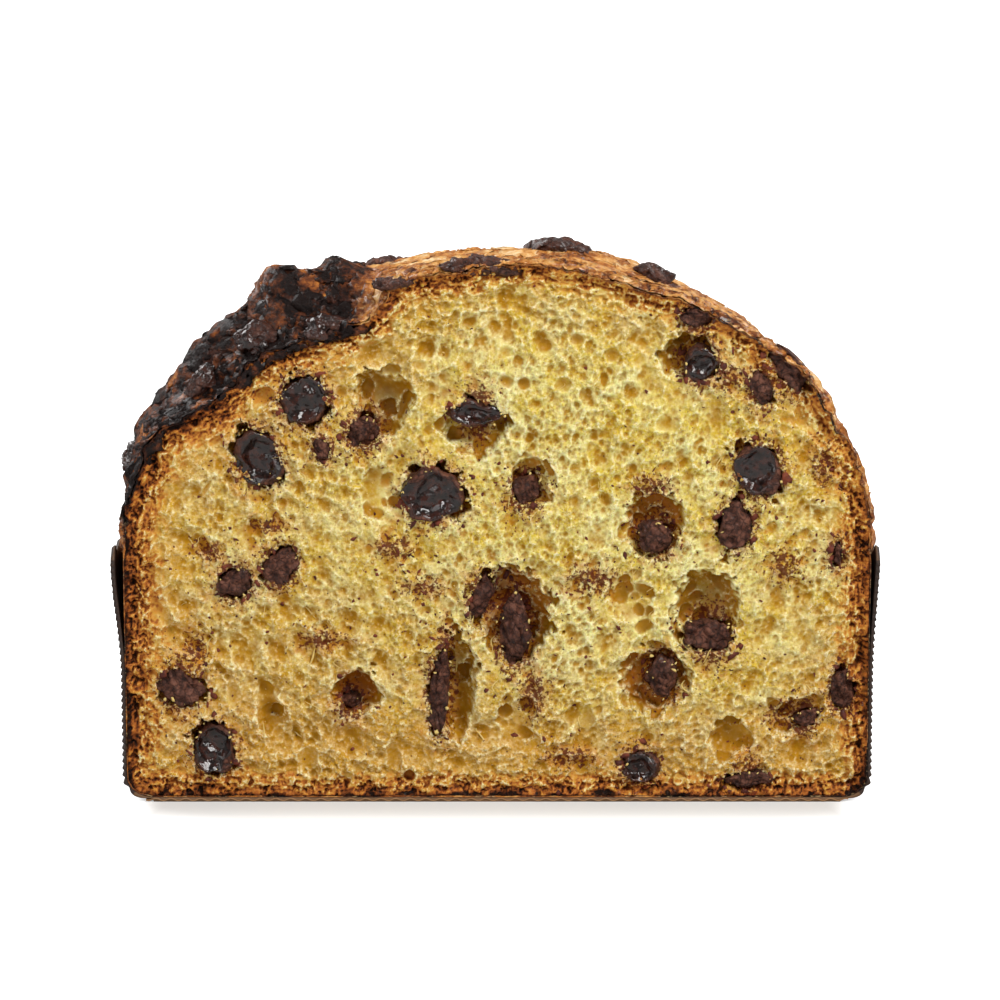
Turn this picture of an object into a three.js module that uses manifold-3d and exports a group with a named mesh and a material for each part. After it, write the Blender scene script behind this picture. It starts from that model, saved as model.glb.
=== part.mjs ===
// Half of a round chocolate panettone in its paper case, cut straight down through the middle.
// Millimetres, +Z up. X runs along the cut face, which looks along -Y, and the rounded back is at +Y.
// Everything is worked out from the loaf's own axis, and the finished group is then centred over the origin.
import * as THREE from "three";
import { mergeVertices } from "three/addons/utils/BufferGeometryUtils.js";
import Module from "manifold-3d";

// The paper case: a tapered cup with a rounded foot and a pinked rim.
const CASE_HEIGHT = 68;
const PAPER = 1.2;
const TOOTH_PITCH = 8;
const TOOTH_HEIGHT = 3.2;
const FLARE_FROM_Z = 36;
const FLARE_REACH = 26;
const FLARE_LEFT = 2.2;
const FLARE_RIGHT = 1.1;

// The loaf: it fills the case and domes out of it.
const GAP = 0.35;
const BASE_Z = PAPER + GAP;
const FOOT_RADIUS = 100.8;
const FOOT_ROUND = 7;
const SHOULDER_RADIUS = 101;
const SHOULDER_Z = 65;
const TOP_Z = 147;
const DOME_POWER = 2.33;
const RELIEF_FROM_Z = 74;
const RELIEF_FULL_Z = 92;

// How finely the round shapes are divided.
const LOAF_COLUMNS = 42;
const DOME_ROWS = 15;
const WALL_ROWS = 3;
const FOOT_ROWS = 3;
const CASE_ROWS = 2;

// The gap round the chocolate, how far behind the cut the air holes' middles are, and the chocolate's knobs.
const SOCKET_GAP = 0.4;
const HOLE_BACK = 0.4;
const LUMP_KNOBS = 0.14;
const LUMP_RIDGES = 0.08;

// The baker's scores in the crust, as lines seen from above, with the lips that curled up beside them.
const SCORES = [
  { from: [-30, 2], to: [-94, 1], depth: 10.5, width: 9, lip: 2.6 },
  { from: [-8, 52], to: [-14, 90], depth: 5.5, width: 6.5, lip: 3 },
];

// Slow ripples of the crust: rise, length along X and Y, and phase.
const RIPPLES = [
  { rise: 0.45, length: [13, 15], phase: 0.6 },
  { rise: 0.45, length: [13, -15], phase: 0.6 },
  { rise: 0.6, length: [21, 8], phase: 2.1 },
  { rise: 0.4, length: [6.3, -9], phase: 0 },
];

// Ears, swells and dents of the crust: centre seen from above, rise or fall, and half-width along X and Y.
const EARS = [
  { at: [-55, 17], rise: 7, spread: [7, 7] },
  { at: [-41, 21], rise: 4.2, spread: [4.5, 8] },
  { at: [-76, 18], rise: 1.8, spread: [9, 12] },
  { at: [-22, 34], rise: 2, spread: [16, 12] },
  { at: [14, 24], rise: 4.2, spread: [26, 16] },
  { at: [36, 46], rise: 1.6, spread: [10, 14] },
  { at: [-38, 58], rise: 2.6, spread: [12, 10] },
  { at: [-95, 16], rise: 3.6, spread: [7, 14] },
  { at: [84, 26], rise: -2.6, spread: [16, 18] },
  { at: [93, 2], rise: -2, spread: [7, 16] },
];

// Large air holes that the knife opened: centre on the cut face, half-width, half-height, depth and tilt.
const AIR_HOLES = [
  { x: -30.8, z: 111.5, wide: 8, high: 9, deep: 9, tilt: -20 },
  { x: -6.5, z: 103.8, wide: 9.6, high: 7.4, deep: 8, tilt: 0 },
  { x: 9, z: 89.6, wide: 5.4, high: 7.6, deep: 6, tilt: -10 },
  { x: 42.6, z: 77, wide: 8, high: 9.8, deep: 8, tilt: 0 },
  { x: 50.8, z: 124, wide: 7.2, high: 5.8, deep: 8, tilt: -20 },
  { x: 4.9, z: 52.6, wide: 10, high: 13, deep: 10, tilt: -12 },
  { x: -10.8, z: 31.6, wide: 5, high: 15.5, deep: 8, tilt: 0 },
  { x: 57, z: 54.6, wide: 9.6, high: 11.6, deep: 9, tilt: 10 },
  { x: 42.7, z: 33.8, wide: 9.6, high: 8.4, deep: 9, tilt: 0 },
  { x: -37.8, z: 30.5, wide: 6.4, high: 6.4, deep: 10, tilt: 0 },
  { x: 63.4, z: 18, wide: 6, high: 5.4, deep: 5, tilt: -20 },
  { x: 81, z: 24.2, wide: 9.4, high: 4.4, deep: 5, tilt: -22 },
  { x: -31.5, z: 86.5, wide: 5.6, high: 7.8, deep: 4, tilt: 0 },
  { x: -61.8, z: 24.9, wide: 4.2, high: 7, deep: 5, tilt: -12 },
  { x: 36, z: 56, wide: 5.2, high: 9, deep: 4, tilt: -32 },
  { x: 4.8, z: 21.3, wide: 5.4, high: 7.6, deep: 4, tilt: 0 },
];

// Chocolate pieces: centre, half-sizes along X, Y and Z, and tilt in the plane of the cut, in degrees.
const FACE_CHUNKS = [
  { at: [-51.6, 2.6, 112], half: [6.4, 4.6, 6.4], tilt: 0 },
  { at: [-64.3, 2.8, 95.6], half: [6.2, 5, 8], tilt: 24 },
  { at: [-37, 4.4, 103.2], half: [5.2, 3.8, 4.4], tilt: 16 },
  { at: [-6.2, 3.4, 108], half: [7.6, 3.8, 3.7], tilt: -4 },
  { at: [-17, 2.6, 85.9], half: [7.2, 5, 7.2], tilt: 0 },
  { at: [8.1, 3.4, 86.8], half: [3.6, 3.4, 4.6], tilt: -18 },
  { at: [43.5, 4, 73.6], half: [5.2, 3.8, 4.9], tilt: 6 },
  { at: [70.4, 2.2, 92.8], half: [6.4, 4, 7.2], tilt: 14 },
  { at: [64.3, 2.6, 77.1], half: [4.2, 3.8, 6.2], tilt: 10 },
  { at: [54.9, 3.4, 121.6], half: [4.6, 4, 4.8], tilt: 24 },
  { at: [-58.5, 2.4, 65.8], half: [5.8, 3.8, 4.2], tilt: 28 },
  { at: [-70.8, 2.2, 61], half: [4.8, 3.4, 4.2], tilt: 30 },
  { at: [-86.6, 2, 32], half: [7.8, 3.4, 4.2], tilt: -18 },
  { at: [-78, 3, 14.6], half: [6.2, 5, 7.2], tilt: 8 },
  { at: [-40.4, 8.4, 26.6], half: [3.2, 2.4, 2.6], tilt: 0 },
  { at: [-15.6, 2.2, 31], half: [2.4, 3.2, 11.4], tilt: -6 },
  { at: [4.9, 3.8, 47], half: [4.1, 3.5, 12], tilt: 4 },
  { at: [-4.4, 4.6, 57.2], half: [3.4, 3.6, 7.6], tilt: -22 },
  { at: [44.6, 4.4, 34.6], half: [4.2, 3.6, 6], tilt: 12 },
  { at: [57.6, 4, 46], half: [6.4, 3.7, 4.6], tilt: -8 },
  { at: [39.2, 2.8, 9.4], half: [5, 4.2, 4.4], tilt: 0 },
  { at: [68.9, 2.6, 6], half: [6.6, 3.6, 2.6], tilt: 0 },
  { at: [84.4, 2.8, 23], half: [4.4, 2.4, 1.9], tilt: 28 },
  { at: [53.7, 2.4, 135], half: [5.3, 3.6, 3.2], tilt: 16 },
  { at: [70.8, 2.2, 115.6], half: [2.6, 3, 5.2], tilt: 32 },
  { at: [78.8, 4.4, 121], half: [4.1, 4.6, 8.2], tilt: 40 },
  { at: [94.4, 2.8, 31], half: [3.2, 3.2, 5.4], tilt: 4 },
  { at: [92.3, 2, 69.3], half: [1.5, 2.4, 3.4], tilt: -6 },
  { at: [-47.3, 1.8, 98.6], half: [2.4, 2.2, 3.3], tilt: 10 },
];
// Pieces in the crust: where they lie seen from above, half-length, half-width, half-thickness and spin.
const CRUST_CHUNKS = [
  { above: [-4.6, 3.4], half: [11.4, 4.2, 2.9], spin: 0 },
  { above: [14.9, 25], half: [11.6, 7, 3.9], spin: 8 },
  { above: [40.4, 20], half: [8, 5, 3.2], spin: -10 },
  { above: [-51.4, 4], half: [6.8, 4.2, 3.6], spin: 10 },
  { above: [-27.4, 2.6], half: [6.8, 3.4, 1.7], spin: 0 },
  { above: [-67.5, 8], half: [7.4, 5, 4.2], spin: -20 },
  { above: [-83, 8.6], half: [6.2, 4.6, 4.2], spin: 0 },
  { above: [-96.6, 13], half: [5.6, 5, 2.8], spin: 90 },
  { above: [-30, 52], half: [8, 6.4, 3.4], spin: 30 },
  { above: [26, 58], half: [7, 8, 3.6], spin: -20 },
  { above: [60, 50], half: [5.4, 8, 3.6], spin: 15 },
  { above: [-70, 48], half: [6, 7, 4], spin: 50 },
  { above: [8, 86], half: [9, 4.6, 4], spin: 0 },
  { above: [58, 74], half: [5, 5.4, 3.6], spin: 20 },
];
const CRUST_SINK = 0.3;

const COLOURS = {
  loaf: 0xc99a45,
  case: 0x3b2014,
  chocolate: 0x2c1713,
};

const wasm = await Module();
wasm.setup();

function smooth(t) {
  const s = Math.min(Math.max(t, 0), 1);
  return s * s * (3 - 2 * s);
}

function solidFrom(geometry) {
  const bare = geometry.index ? geometry.toNonIndexed() : geometry.clone();
  bare.deleteAttribute("normal");
  bare.deleteAttribute("uv");
  const merged = mergeVertices(bare, 1e-3);
  const mesh = new wasm.Mesh({
    numProp: 3,
    vertProperties: merged.attributes.position.array,
    triVerts: new Uint32Array(merged.index.array),
  });
  return new wasm.Manifold(mesh);
}

function geometryFrom(solid) {
  const mesh = solid.getMesh();
  const geometry = new THREE.BufferGeometry();
  geometry.setAttribute("position", new THREE.BufferAttribute(mesh.vertProperties, 3));
  geometry.setIndex(new THREE.BufferAttribute(mesh.triVerts, 1));
  geometry.computeVertexNormals();
  return geometry;
}

function largestBody(solid) {
  return solid.decompose().reduce((a, b) => (a.volume() > b.volume() ? a : b));
}

// Triangles from a flat list of corners, dropping those with no area.
class Facets {
  constructor() {
    this.corners = [];
  }

  triangle(a, b, c) {
    const area = b.clone().sub(a).cross(c.clone().sub(a)).length();
    if (area > 1e-4) this.corners.push(...a.toArray(), ...b.toArray(), ...c.toArray());
  }

  quad(a, b, c, d) {
    this.triangle(a, b, c);
    this.triangle(a, c, d);
  }

  geometry() {
    const made = new THREE.BufferGeometry();
    made.setAttribute("position", new THREE.Float32BufferAttribute(this.corners, 3));
    return made;
  }
}

// A half-turn solid: columns of section outlines, from +X round the back to -X, closed by the two ends.
function halfTurn(columns) {
  const facets = new Facets();
  for (let c = 0; c + 1 < columns.length; c++) {
    const near = columns[c];
    const far = columns[c + 1];
    near.forEach((p, i) => {
      const j = (i + 1) % near.length;
      facets.quad(p, far[i], far[j], near[j]);
    });
  }
  return facets;
}

// A triangle of a cut end, which lies in the plane y = 0 and looks forward.
function cutTriangle(facets, a, b, c) {
  const forward = b.clone().sub(a).cross(c.clone().sub(a)).y < 0;
  facets.triangle(a, forward ? b : c, forward ? c : b);
}

// Closes a cut end with rungs between two matching edges of it.
function capCut(facets, one, other) {
  for (let i = 0; i + 1 < one.length; i++) {
    cutTriangle(facets, one[i], one[i + 1], other[i + 1]);
    cutTriangle(facets, one[i], other[i + 1], other[i]);
  }
}

// How far the crust stands above the plain dome at a point of it.
function relief(x, y, z) {
  let rise = 0;
  for (const { rise: height, length, phase } of RIPPLES) {
    rise += height * Math.sin(x / length[0] + y / length[1] + phase);
  }
  for (const { at, rise: height, spread } of EARS) {
    const u = (x - at[0]) / spread[0];
    const v = (y - at[1]) / spread[1];
    rise += height * Math.exp(-u * u - v * v);
  }
  for (const { from, to, depth, width, lip } of SCORES) {
    const run = [to[0] - from[0], to[1] - from[1]];
    const length = Math.hypot(...run);
    const along = ((x - from[0]) * run[0] + (y - from[1]) * run[1]) / length / length;
    const off = Math.abs((x - from[0]) * run[1] - (y - from[1]) * run[0]) / length / width;
    const open = smooth((along + 0.12) / 0.3) * smooth((1.08 - along) / 0.3);
    rise += open * (lip * Math.exp(-(((off - 1.9) / 0.6) ** 2)) - depth * Math.exp(-off * off));
  }
  return rise * smooth((z - RELIEF_FROM_Z) / (RELIEF_FULL_Z - RELIEF_FROM_Z));
}

function wallRadius(z) {
  const rise = (z - FOOT_ROUND) / (SHOULDER_Z - FOOT_ROUND);
  return FOOT_RADIUS + (SHOULDER_RADIUS - FOOT_RADIUS) * Math.min(Math.max(rise, 0), 1);
}

// The outside of the loaf from the middle of its base to its top, as radius and height, before the relief.
function loafProfile() {
  const profile = [[0, BASE_Z]];
  for (let i = 0; i <= FOOT_ROWS; i++) {
    const turn = ((i / FOOT_ROWS) * Math.PI) / 2;
    const r = FOOT_RADIUS - FOOT_ROUND * (1 - Math.sin(turn));
    profile.push([r, BASE_Z + (FOOT_ROUND - BASE_Z) * (1 - Math.cos(turn))]);
  }
  for (let i = 1; i < WALL_ROWS; i++) {
    const z = FOOT_ROUND + ((SHOULDER_Z - FOOT_ROUND) * i) / WALL_ROWS;
    profile.push([wallRadius(z), z]);
  }
  for (let i = 0; i <= DOME_ROWS; i++) {
    const turn = ((i / DOME_ROWS) * Math.PI) / 2;
    const r = SHOULDER_RADIUS * Math.max(Math.cos(turn), 0) ** (2 / DOME_POWER);
    const z = SHOULDER_Z + (TOP_Z - SHOULDER_Z) * Math.sin(turn) ** (2 / DOME_POWER);
    profile.push([i < DOME_ROWS ? r : 0, z]);
  }
  return profile;
}

// A point of the loaf's crust: the plain one pushed in or out along the line from the middle of the shoulder.
function crustPoint(r, z, turn) {
  const plain = new THREE.Vector3(r * Math.cos(turn), Math.max(r * Math.sin(turn), 0), z);
  if (z <= RELIEF_FROM_Z) return plain;
  const out = plain.clone().sub(new THREE.Vector3(0, 0, SHOULDER_Z)).normalize();
  return plain.addScaledVector(out, relief(plain.x, plain.y, plain.z));
}

function wholeLoaf() {
  const profile = loafProfile();
  const columns = [];
  for (let c = 0; c <= LOAF_COLUMNS; c++) {
    const turn = (c / LOAF_COLUMNS) * Math.PI;
    columns.push(profile.map(([r, z]) => crustPoint(r, z, c < LOAF_COLUMNS ? turn : Math.PI)));
  }
  for (const column of [columns[0], columns[LOAF_COLUMNS]]) column.forEach((p) => (p.y = 0));
  const facets = halfTurn(columns);
  const right = columns[0];
  const left = columns[LOAF_COLUMNS];
  const middle = right[0];
  cutTriangle(facets, middle, right[1], right[2]);
  cutTriangle(facets, middle, right[2], left[2]);
  cutTriangle(facets, middle, left[2], left[1]);
  capCut(facets, right.slice(2), left.slice(2));
  return solidFrom(facets.geometry());
}

function airHole({ x, z, wide, high, deep, tilt }) {
  const geometry = new THREE.SphereGeometry(1, 12, 8);
  geometry.scale(wide, deep, high);
  geometry.rotateY(THREE.MathUtils.degToRad(tilt));
  geometry.translate(x, HOLE_BACK, z);
  return solidFrom(geometry);
}

// A broken lump of chocolate. Grown by some amount, it is also the socket that the lump sits in.
function lump(half, seed, grow = 0) {
  const geometry = new THREE.IcosahedronGeometry(1, 1);
  const place = geometry.attributes.position;
  for (let i = 0; i < place.count; i++) {
    const p = new THREE.Vector3().fromBufferAttribute(place, i);
    const knobs = Math.sin(3.1 * p.x + seed) * Math.cos(2.7 * p.z + 2 * seed);
    const facet = 1 + LUMP_KNOBS * knobs + LUMP_RIDGES * Math.sin(5.3 * p.y + 3 * seed + 2 * p.x);
    const out = p.clone();
    p.multiply(new THREE.Vector3(...half)).multiplyScalar(facet);
    p.addScaledVector(out, grow);
    place.setXYZ(i, p.x, p.y, p.z);
  }
  geometry.computeVertexNormals();
  return geometry;
}

function chunkMesh(half, name, seed, material) {
  const mesh = new THREE.Mesh(lump(half, seed), material);
  mesh.name = name;
  mesh.userData = { half, seed };
  return mesh;
}

function faceChunk({ at, half, tilt }, name, seed, material) {
  const mesh = chunkMesh(half, name, seed, material);
  mesh.position.set(...at);
  mesh.rotation.y = THREE.MathUtils.degToRad(-tilt);
  return mesh;
}

// A piece in the crust lies along the dome with its thin side up, partly sunk.
function crustChunk({ above, half, spin }, name, seed, material) {
  const mesh = chunkMesh(half, name, seed, material);
  const domeHeight = TOP_Z - SHOULDER_Z;
  const r = Math.hypot(...above);
  const share = (r / SHOULDER_RADIUS) ** DOME_POWER;
  const rise = domeHeight * (1 - share) ** (1 / DOME_POWER);
  const out = (r / SHOULDER_RADIUS) ** (DOME_POWER - 1) / SHOULDER_RADIUS / r;
  const up = (rise / domeHeight) ** (DOME_POWER - 1) / domeHeight;
  const normal = new THREE.Vector3(above[0] * out, above[1] * out, up).normalize();
  mesh.position.copy(crustPoint(r, SHOULDER_Z + rise, Math.atan2(above[1], above[0])));
  mesh.position.addScaledVector(normal, -CRUST_SINK * half[2]);
  mesh.quaternion.setFromUnitVectors(new THREE.Vector3(0, 0, 1), normal);
  mesh.rotateZ(THREE.MathUtils.degToRad(spin));
  return mesh;
}

function socketOf(chunk) {
  const { half, seed } = chunk.userData;
  chunk.updateMatrix();
  return solidFrom(lump(half, seed, SOCKET_GAP).applyMatrix4(chunk.matrix));
}

// How far the case leans away from the loaf near its cut ends.
function flare(turn, z) {
  const most = turn < Math.PI / 2 ? FLARE_RIGHT : FLARE_LEFT;
  const depth = SHOULDER_RADIUS * Math.sin(turn);
  const near = Math.exp(-((depth / FLARE_REACH) ** 2));
  return most * near * smooth((z - FLARE_FROM_Z) / (CASE_HEIGHT - FLARE_FROM_Z));
}

// The case's section at one turn: out along the foot, up the outside, over the rim and back down the inside.
function caseSection(turn, rimZ) {
  const outer = [];
  for (let i = 0; i <= FOOT_ROWS; i++) {
    const bend = ((i / FOOT_ROWS) * Math.PI) / 2;
    const r = FOOT_RADIUS - FOOT_ROUND * (1 - Math.sin(bend));
    outer.push([r, FOOT_ROUND * (1 - Math.cos(bend)), Math.sin(bend)]);
  }
  for (let i = 1; i <= CASE_ROWS; i++) {
    const z = FOOT_ROUND + ((rimZ - FOOT_ROUND) * i) / CASE_ROWS;
    outer.push([wallRadius(z) + flare(turn, z), z, 1]);
  }
  const ring = [[0, 0]];
  for (const [r, z, upright] of outer) ring.push([r + (PAPER + GAP) * upright, z]);
  for (const [r, z, upright] of outer.reverse()) ring.push([r + GAP * upright, z + PAPER * (1 - upright)]);
  ring.push([0, PAPER]);
  return ring.map(([r, z]) => new THREE.Vector3(r * Math.cos(turn), Math.max(r * Math.sin(turn), 0), z));
}

function paperCase() {
  const steps = 2 * Math.round((Math.PI * SHOULDER_RADIUS) / TOOTH_PITCH);
  const columns = [];
  for (let c = 0; c <= steps; c++) {
    const rimZ = CASE_HEIGHT + (c % 2 ? TOOTH_HEIGHT : 0);
    columns.push(caseSection((c / steps) * Math.PI, rimZ));
  }
  for (const column of [columns[0], columns[steps]]) column.forEach((p) => (p.y = 0));
  const facets = halfTurn(columns);
  for (const section of [columns[0], columns[steps]]) {
    const half = section.length / 2;
    capCut(facets, section.slice(0, half), section.slice(half).reverse());
  }
  return facets.geometry();
}

function named(name, geometry, material) {
  const mesh = new THREE.Mesh(geometry, material);
  mesh.name = name;
  return mesh;
}

const chocolate = new THREE.MeshStandardMaterial({ color: COLOURS.chocolate, roughness: 0.35 });
const crumb = new THREE.MeshStandardMaterial({ color: COLOURS.loaf, roughness: 0.9 });
const paper = new THREE.MeshStandardMaterial({ color: COLOURS.case, roughness: 0.8 });

const faceChunks = FACE_CHUNKS.map((c, i) => faceChunk(c, `chocolate_face_${i + 1}`, 1.7 * i + 1, chocolate));
const crustName = (i) => `chocolate_crust_${i + 1}`;
const crustChunks = CRUST_CHUNKS.map((c, i) => crustChunk(c, crustName(i), 2.3 * i + 2, chocolate));
const chunks = [...faceChunks, ...crustChunks];

const cutters = [...AIR_HOLES.map(airHole), ...chunks.map(socketOf)];
const loaf = largestBody(wholeLoaf().subtract(wasm.Manifold.union(cutters)));

const panettone = new THREE.Group();
panettone.add(named("loaf", geometryFrom(loaf), crumb));
panettone.add(named("paper_case", paperCase(), paper));
panettone.add(...chunks);

const bounds = new THREE.Box3().setFromObject(panettone, true);
const middle = bounds.getCenter(new THREE.Vector3());
panettone.position.set(-middle.x, -middle.y, -bounds.min.z);

export default panettone;
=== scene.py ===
"""Half a panettone in its paper case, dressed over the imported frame.

Shapes are worked out in the loaf's own millimetres: X runs along the cut, Y goes back from the cut face
and Z goes up from the table. LoafPlace turns them into the metres of the frame.
"""

import logging
import math
from dataclasses import dataclass, field
from enum import Enum
from itertools import product
from typing import Sequence

import bmesh
import bpy
import numpy as np
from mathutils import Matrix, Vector


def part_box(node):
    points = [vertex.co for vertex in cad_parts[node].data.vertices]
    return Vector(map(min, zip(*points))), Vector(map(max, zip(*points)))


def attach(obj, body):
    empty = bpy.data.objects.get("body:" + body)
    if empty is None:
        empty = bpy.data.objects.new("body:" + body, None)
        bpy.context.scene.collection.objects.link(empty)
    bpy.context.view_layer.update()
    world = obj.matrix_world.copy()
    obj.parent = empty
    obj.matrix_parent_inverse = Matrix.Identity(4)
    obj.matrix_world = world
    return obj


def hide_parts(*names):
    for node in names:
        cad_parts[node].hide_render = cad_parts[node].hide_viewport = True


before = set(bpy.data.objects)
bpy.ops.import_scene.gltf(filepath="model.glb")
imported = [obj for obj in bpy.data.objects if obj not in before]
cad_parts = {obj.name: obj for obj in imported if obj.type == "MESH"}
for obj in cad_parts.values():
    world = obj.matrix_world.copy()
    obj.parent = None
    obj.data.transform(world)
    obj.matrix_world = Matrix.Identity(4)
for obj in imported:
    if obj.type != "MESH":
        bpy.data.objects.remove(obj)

LOG = logging.getLogger("panettone")
MM = 0.001
Row = tuple[float, ...]
Colour = tuple[float, float, float]
Socket = bpy.types.NodeSocket


def srgb(red: int, green: int, blue: int) -> tuple[float, float, float, float]:
    """Turns a colour as seen on screen into the linear colour that shaders use.

    Args:
        red: From 0 to 255.
        green: From 0 to 255.
        blue: From 0 to 255.

    Returns:
        The linear colour with full alpha.
    """
    parts = [c / 255 for c in (red, green, blue)]
    linear = [c / 12.92 if c <= 0.04045 else ((c + 0.055) / 1.055) ** 2.4 for c in parts]
    return (*linear, 1.0)


def smooth(value: np.ndarray) -> np.ndarray:
    """Eases a value from 0 to 1 and holds it there outside that range."""
    held = np.clip(value, 0.0, 1.0)
    return held * held * (3.0 - 2.0 * held)


def lattice_noise(points: np.ndarray, size: float, seed: int) -> np.ndarray:
    """Smooth noise in space.

    Args:
        points: Places, one row each.
        size: Length over which the noise changes.
        seed: Picks the pattern.

    Returns:
        One value from -1 to 1 for each place.
    """
    cells = 32
    lattice = np.random.default_rng(seed).uniform(-1.0, 1.0, (cells, cells, cells))
    turn = seed * 0.7 + 0.4
    spin = np.array(
        [
            [math.cos(turn), -math.sin(turn), 0.31],
            [math.sin(turn), math.cos(turn), -0.27],
            [0.22, 0.35, 0.94],
        ]
    )
    cell = points @ spin / size + seed * 3.7
    base = np.floor(cell).astype(np.int64)
    part = smooth(cell - base)
    total = np.zeros(len(points))
    for corner in product((0, 1), repeat=3):
        weight = np.ones(len(points))
        for axis in range(3):
            weight = weight * (part[:, axis] if corner[axis] else 1.0 - part[:, axis])
        at = (base + np.array(corner)) % cells
        total += weight * lattice[at[:, 0], at[:, 1], at[:, 2]]
    return total


def layered_noise(points: np.ndarray, size: float, seed: int, layers: int = 3) -> np.ndarray:
    """Noise with finer and weaker noise on it.

    Args:
        points: Places, one row each.
        size: Length of the coarsest layer.
        seed: Picks the pattern.
        layers: How many layers there are, each half the length of the one before.

    Returns:
        One value of about -1 to 1 for each place.
    """
    total = np.zeros(len(points))
    for layer in range(layers):
        total += lattice_noise(points, size / 2**layer, seed + layer * 11) / 2**layer
    return total / 1.4


def blurred(field_: np.ndarray, reach: int) -> np.ndarray:
    """Averages a grid over a square, twice.

    Args:
        field_: The grid.
        reach: Half the side of the square, in cells.

    Returns:
        The averaged grid.
    """
    result = field_
    for _ in range(2):
        for axis in (0, 1):
            pad = [(reach + 1, reach) if a == axis else (0, 0) for a in (0, 1)]
            sums = np.cumsum(np.pad(result, pad, mode="edge"), axis=axis)
            width = 2 * reach + 1
            high = np.take(sums, range(width, sums.shape[axis]), axis=axis)
            low = np.take(sums, range(0, sums.shape[axis] - width), axis=axis)
            result = (high - low) / width
    return result


def mesh_object(name: str, points: np.ndarray, faces: np.ndarray | Sequence) -> bpy.types.Object:
    """Makes a smooth-shaded mesh object.

    Args:
        name: Name of the piece.
        points: Corners in metres, one row each.
        faces: Corner numbers of each face.

    Returns:
        The new object, in the scene.
    """
    mesh = bpy.data.meshes.new(name)
    corners = np.asarray(points, dtype=np.float64)
    mesh.from_pydata(corners, [], np.asarray(faces) if isinstance(faces, np.ndarray) else faces)
    mesh.update()
    mesh.shade_smooth()
    made = bpy.data.objects.new(name, mesh)
    bpy.context.scene.collection.objects.link(made)
    return made


def settle(piece: bpy.types.Object) -> bpy.types.Object:
    """Turns a piece's modifiers into its mesh.

    Args:
        piece: The object.

    Returns:
        The same object, without modifiers.
    """
    bpy.context.view_layer.update()
    graph = bpy.context.evaluated_depsgraph_get()
    shaped = bpy.data.meshes.new_from_object(piece.evaluated_get(graph))
    old = piece.data
    piece.modifiers.clear()
    piece.data = shaped
    shaped.name = piece.name
    bpy.data.meshes.remove(old)
    shaped.shade_smooth()
    return piece


def thin_out(piece: bpy.types.Object, triangles: int) -> bpy.types.Object:
    """Brings a piece under a number of triangles.

    Args:
        piece: The object.
        triangles: The most it may have.

    Returns:
        The same object.
    """
    piece.data.calc_loop_triangles()
    count = len(piece.data.loop_triangles)
    if count > triangles:
        fewer = piece.modifiers.new("fewer", "DECIMATE")
        fewer.ratio = triangles / count
        fewer.use_collapse_triangulate = True
        settle(piece)
    return piece


def corners_of(mesh: bpy.types.Mesh) -> np.ndarray:
    """Reads a mesh's corners as rows of three numbers."""
    flat = np.empty(len(mesh.vertices) * 3)
    mesh.vertices.foreach_get("co", flat)
    return flat.reshape(-1, 3)


def normals_of(mesh: bpy.types.Mesh) -> np.ndarray:
    """Reads the direction that each corner of a mesh faces."""
    flat = np.empty(len(mesh.vertices) * 3)
    mesh.vertices.foreach_get("normal", flat)
    return flat.reshape(-1, 3)


def put_corners(mesh: bpy.types.Mesh, points: np.ndarray) -> None:
    """Moves a mesh's corners to the given places."""
    mesh.vertices.foreach_set("co", points.ravel())
    mesh.update()


def store(mesh: bpy.types.Mesh, name: str, values: np.ndarray) -> None:
    """Keeps one number for each corner, for the materials to read."""
    layer = mesh.attributes.new(name, "FLOAT", "POINT")
    layer.data.foreach_set("value", np.asarray(values, dtype=np.float32))


def grid_faces(rows: int, columns: int, closed: bool = False) -> np.ndarray:
    """Four-cornered faces over rows and columns of corners.

    Args:
        rows: Number of rows.
        columns: Number of corners in each row.
        closed: Whether the last column meets the first.

    Returns:
        The corner numbers of each face.
    """
    across = columns if closed else columns - 1
    row, column = np.meshgrid(np.arange(rows - 1), np.arange(across), indexing="ij")
    after = (column + 1) % columns
    parts = [row * columns + column, row * columns + after]
    parts += [(row + 1) * columns + after, (row + 1) * columns + column]
    return np.stack([part.ravel() for part in parts], axis=1)


@dataclass(frozen=True)
class LoafPlace:
    """Where the loaf's middle line and its cut face are in the frame, in metres."""

    middle_x: float
    cut_y: float

    @classmethod
    def from_case(cls, shape: "CaseShape") -> "LoafPlace":
        """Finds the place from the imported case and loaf.

        Args:
            shape: Sizes of the paper case.

        Returns:
            The place of the loaf.
        """
        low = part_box("paper_case")[0]
        reach = (shape.loaf.shoulder_radius + shape.flare_left + shape.paper + shape.gap) * MM
        return cls(low.x + reach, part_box("loaf")[0].y)

    def frame(self, points: np.ndarray) -> np.ndarray:
        """Turns the loaf's millimetres into the frame's metres."""
        return points * MM + np.array([self.middle_x, self.cut_y, 0.0])

    def own(self, points: np.ndarray) -> np.ndarray:
        """Turns the frame's metres into the loaf's millimetres."""
        return (points - np.array([self.middle_x, self.cut_y, 0.0])) / MM


@dataclass(frozen=True)
class Score:
    """A slash in the crust and the lips on both sides of it."""

    start: tuple[float, float]
    end: tuple[float, float]
    depth: float
    width: float
    lip: float


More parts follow.
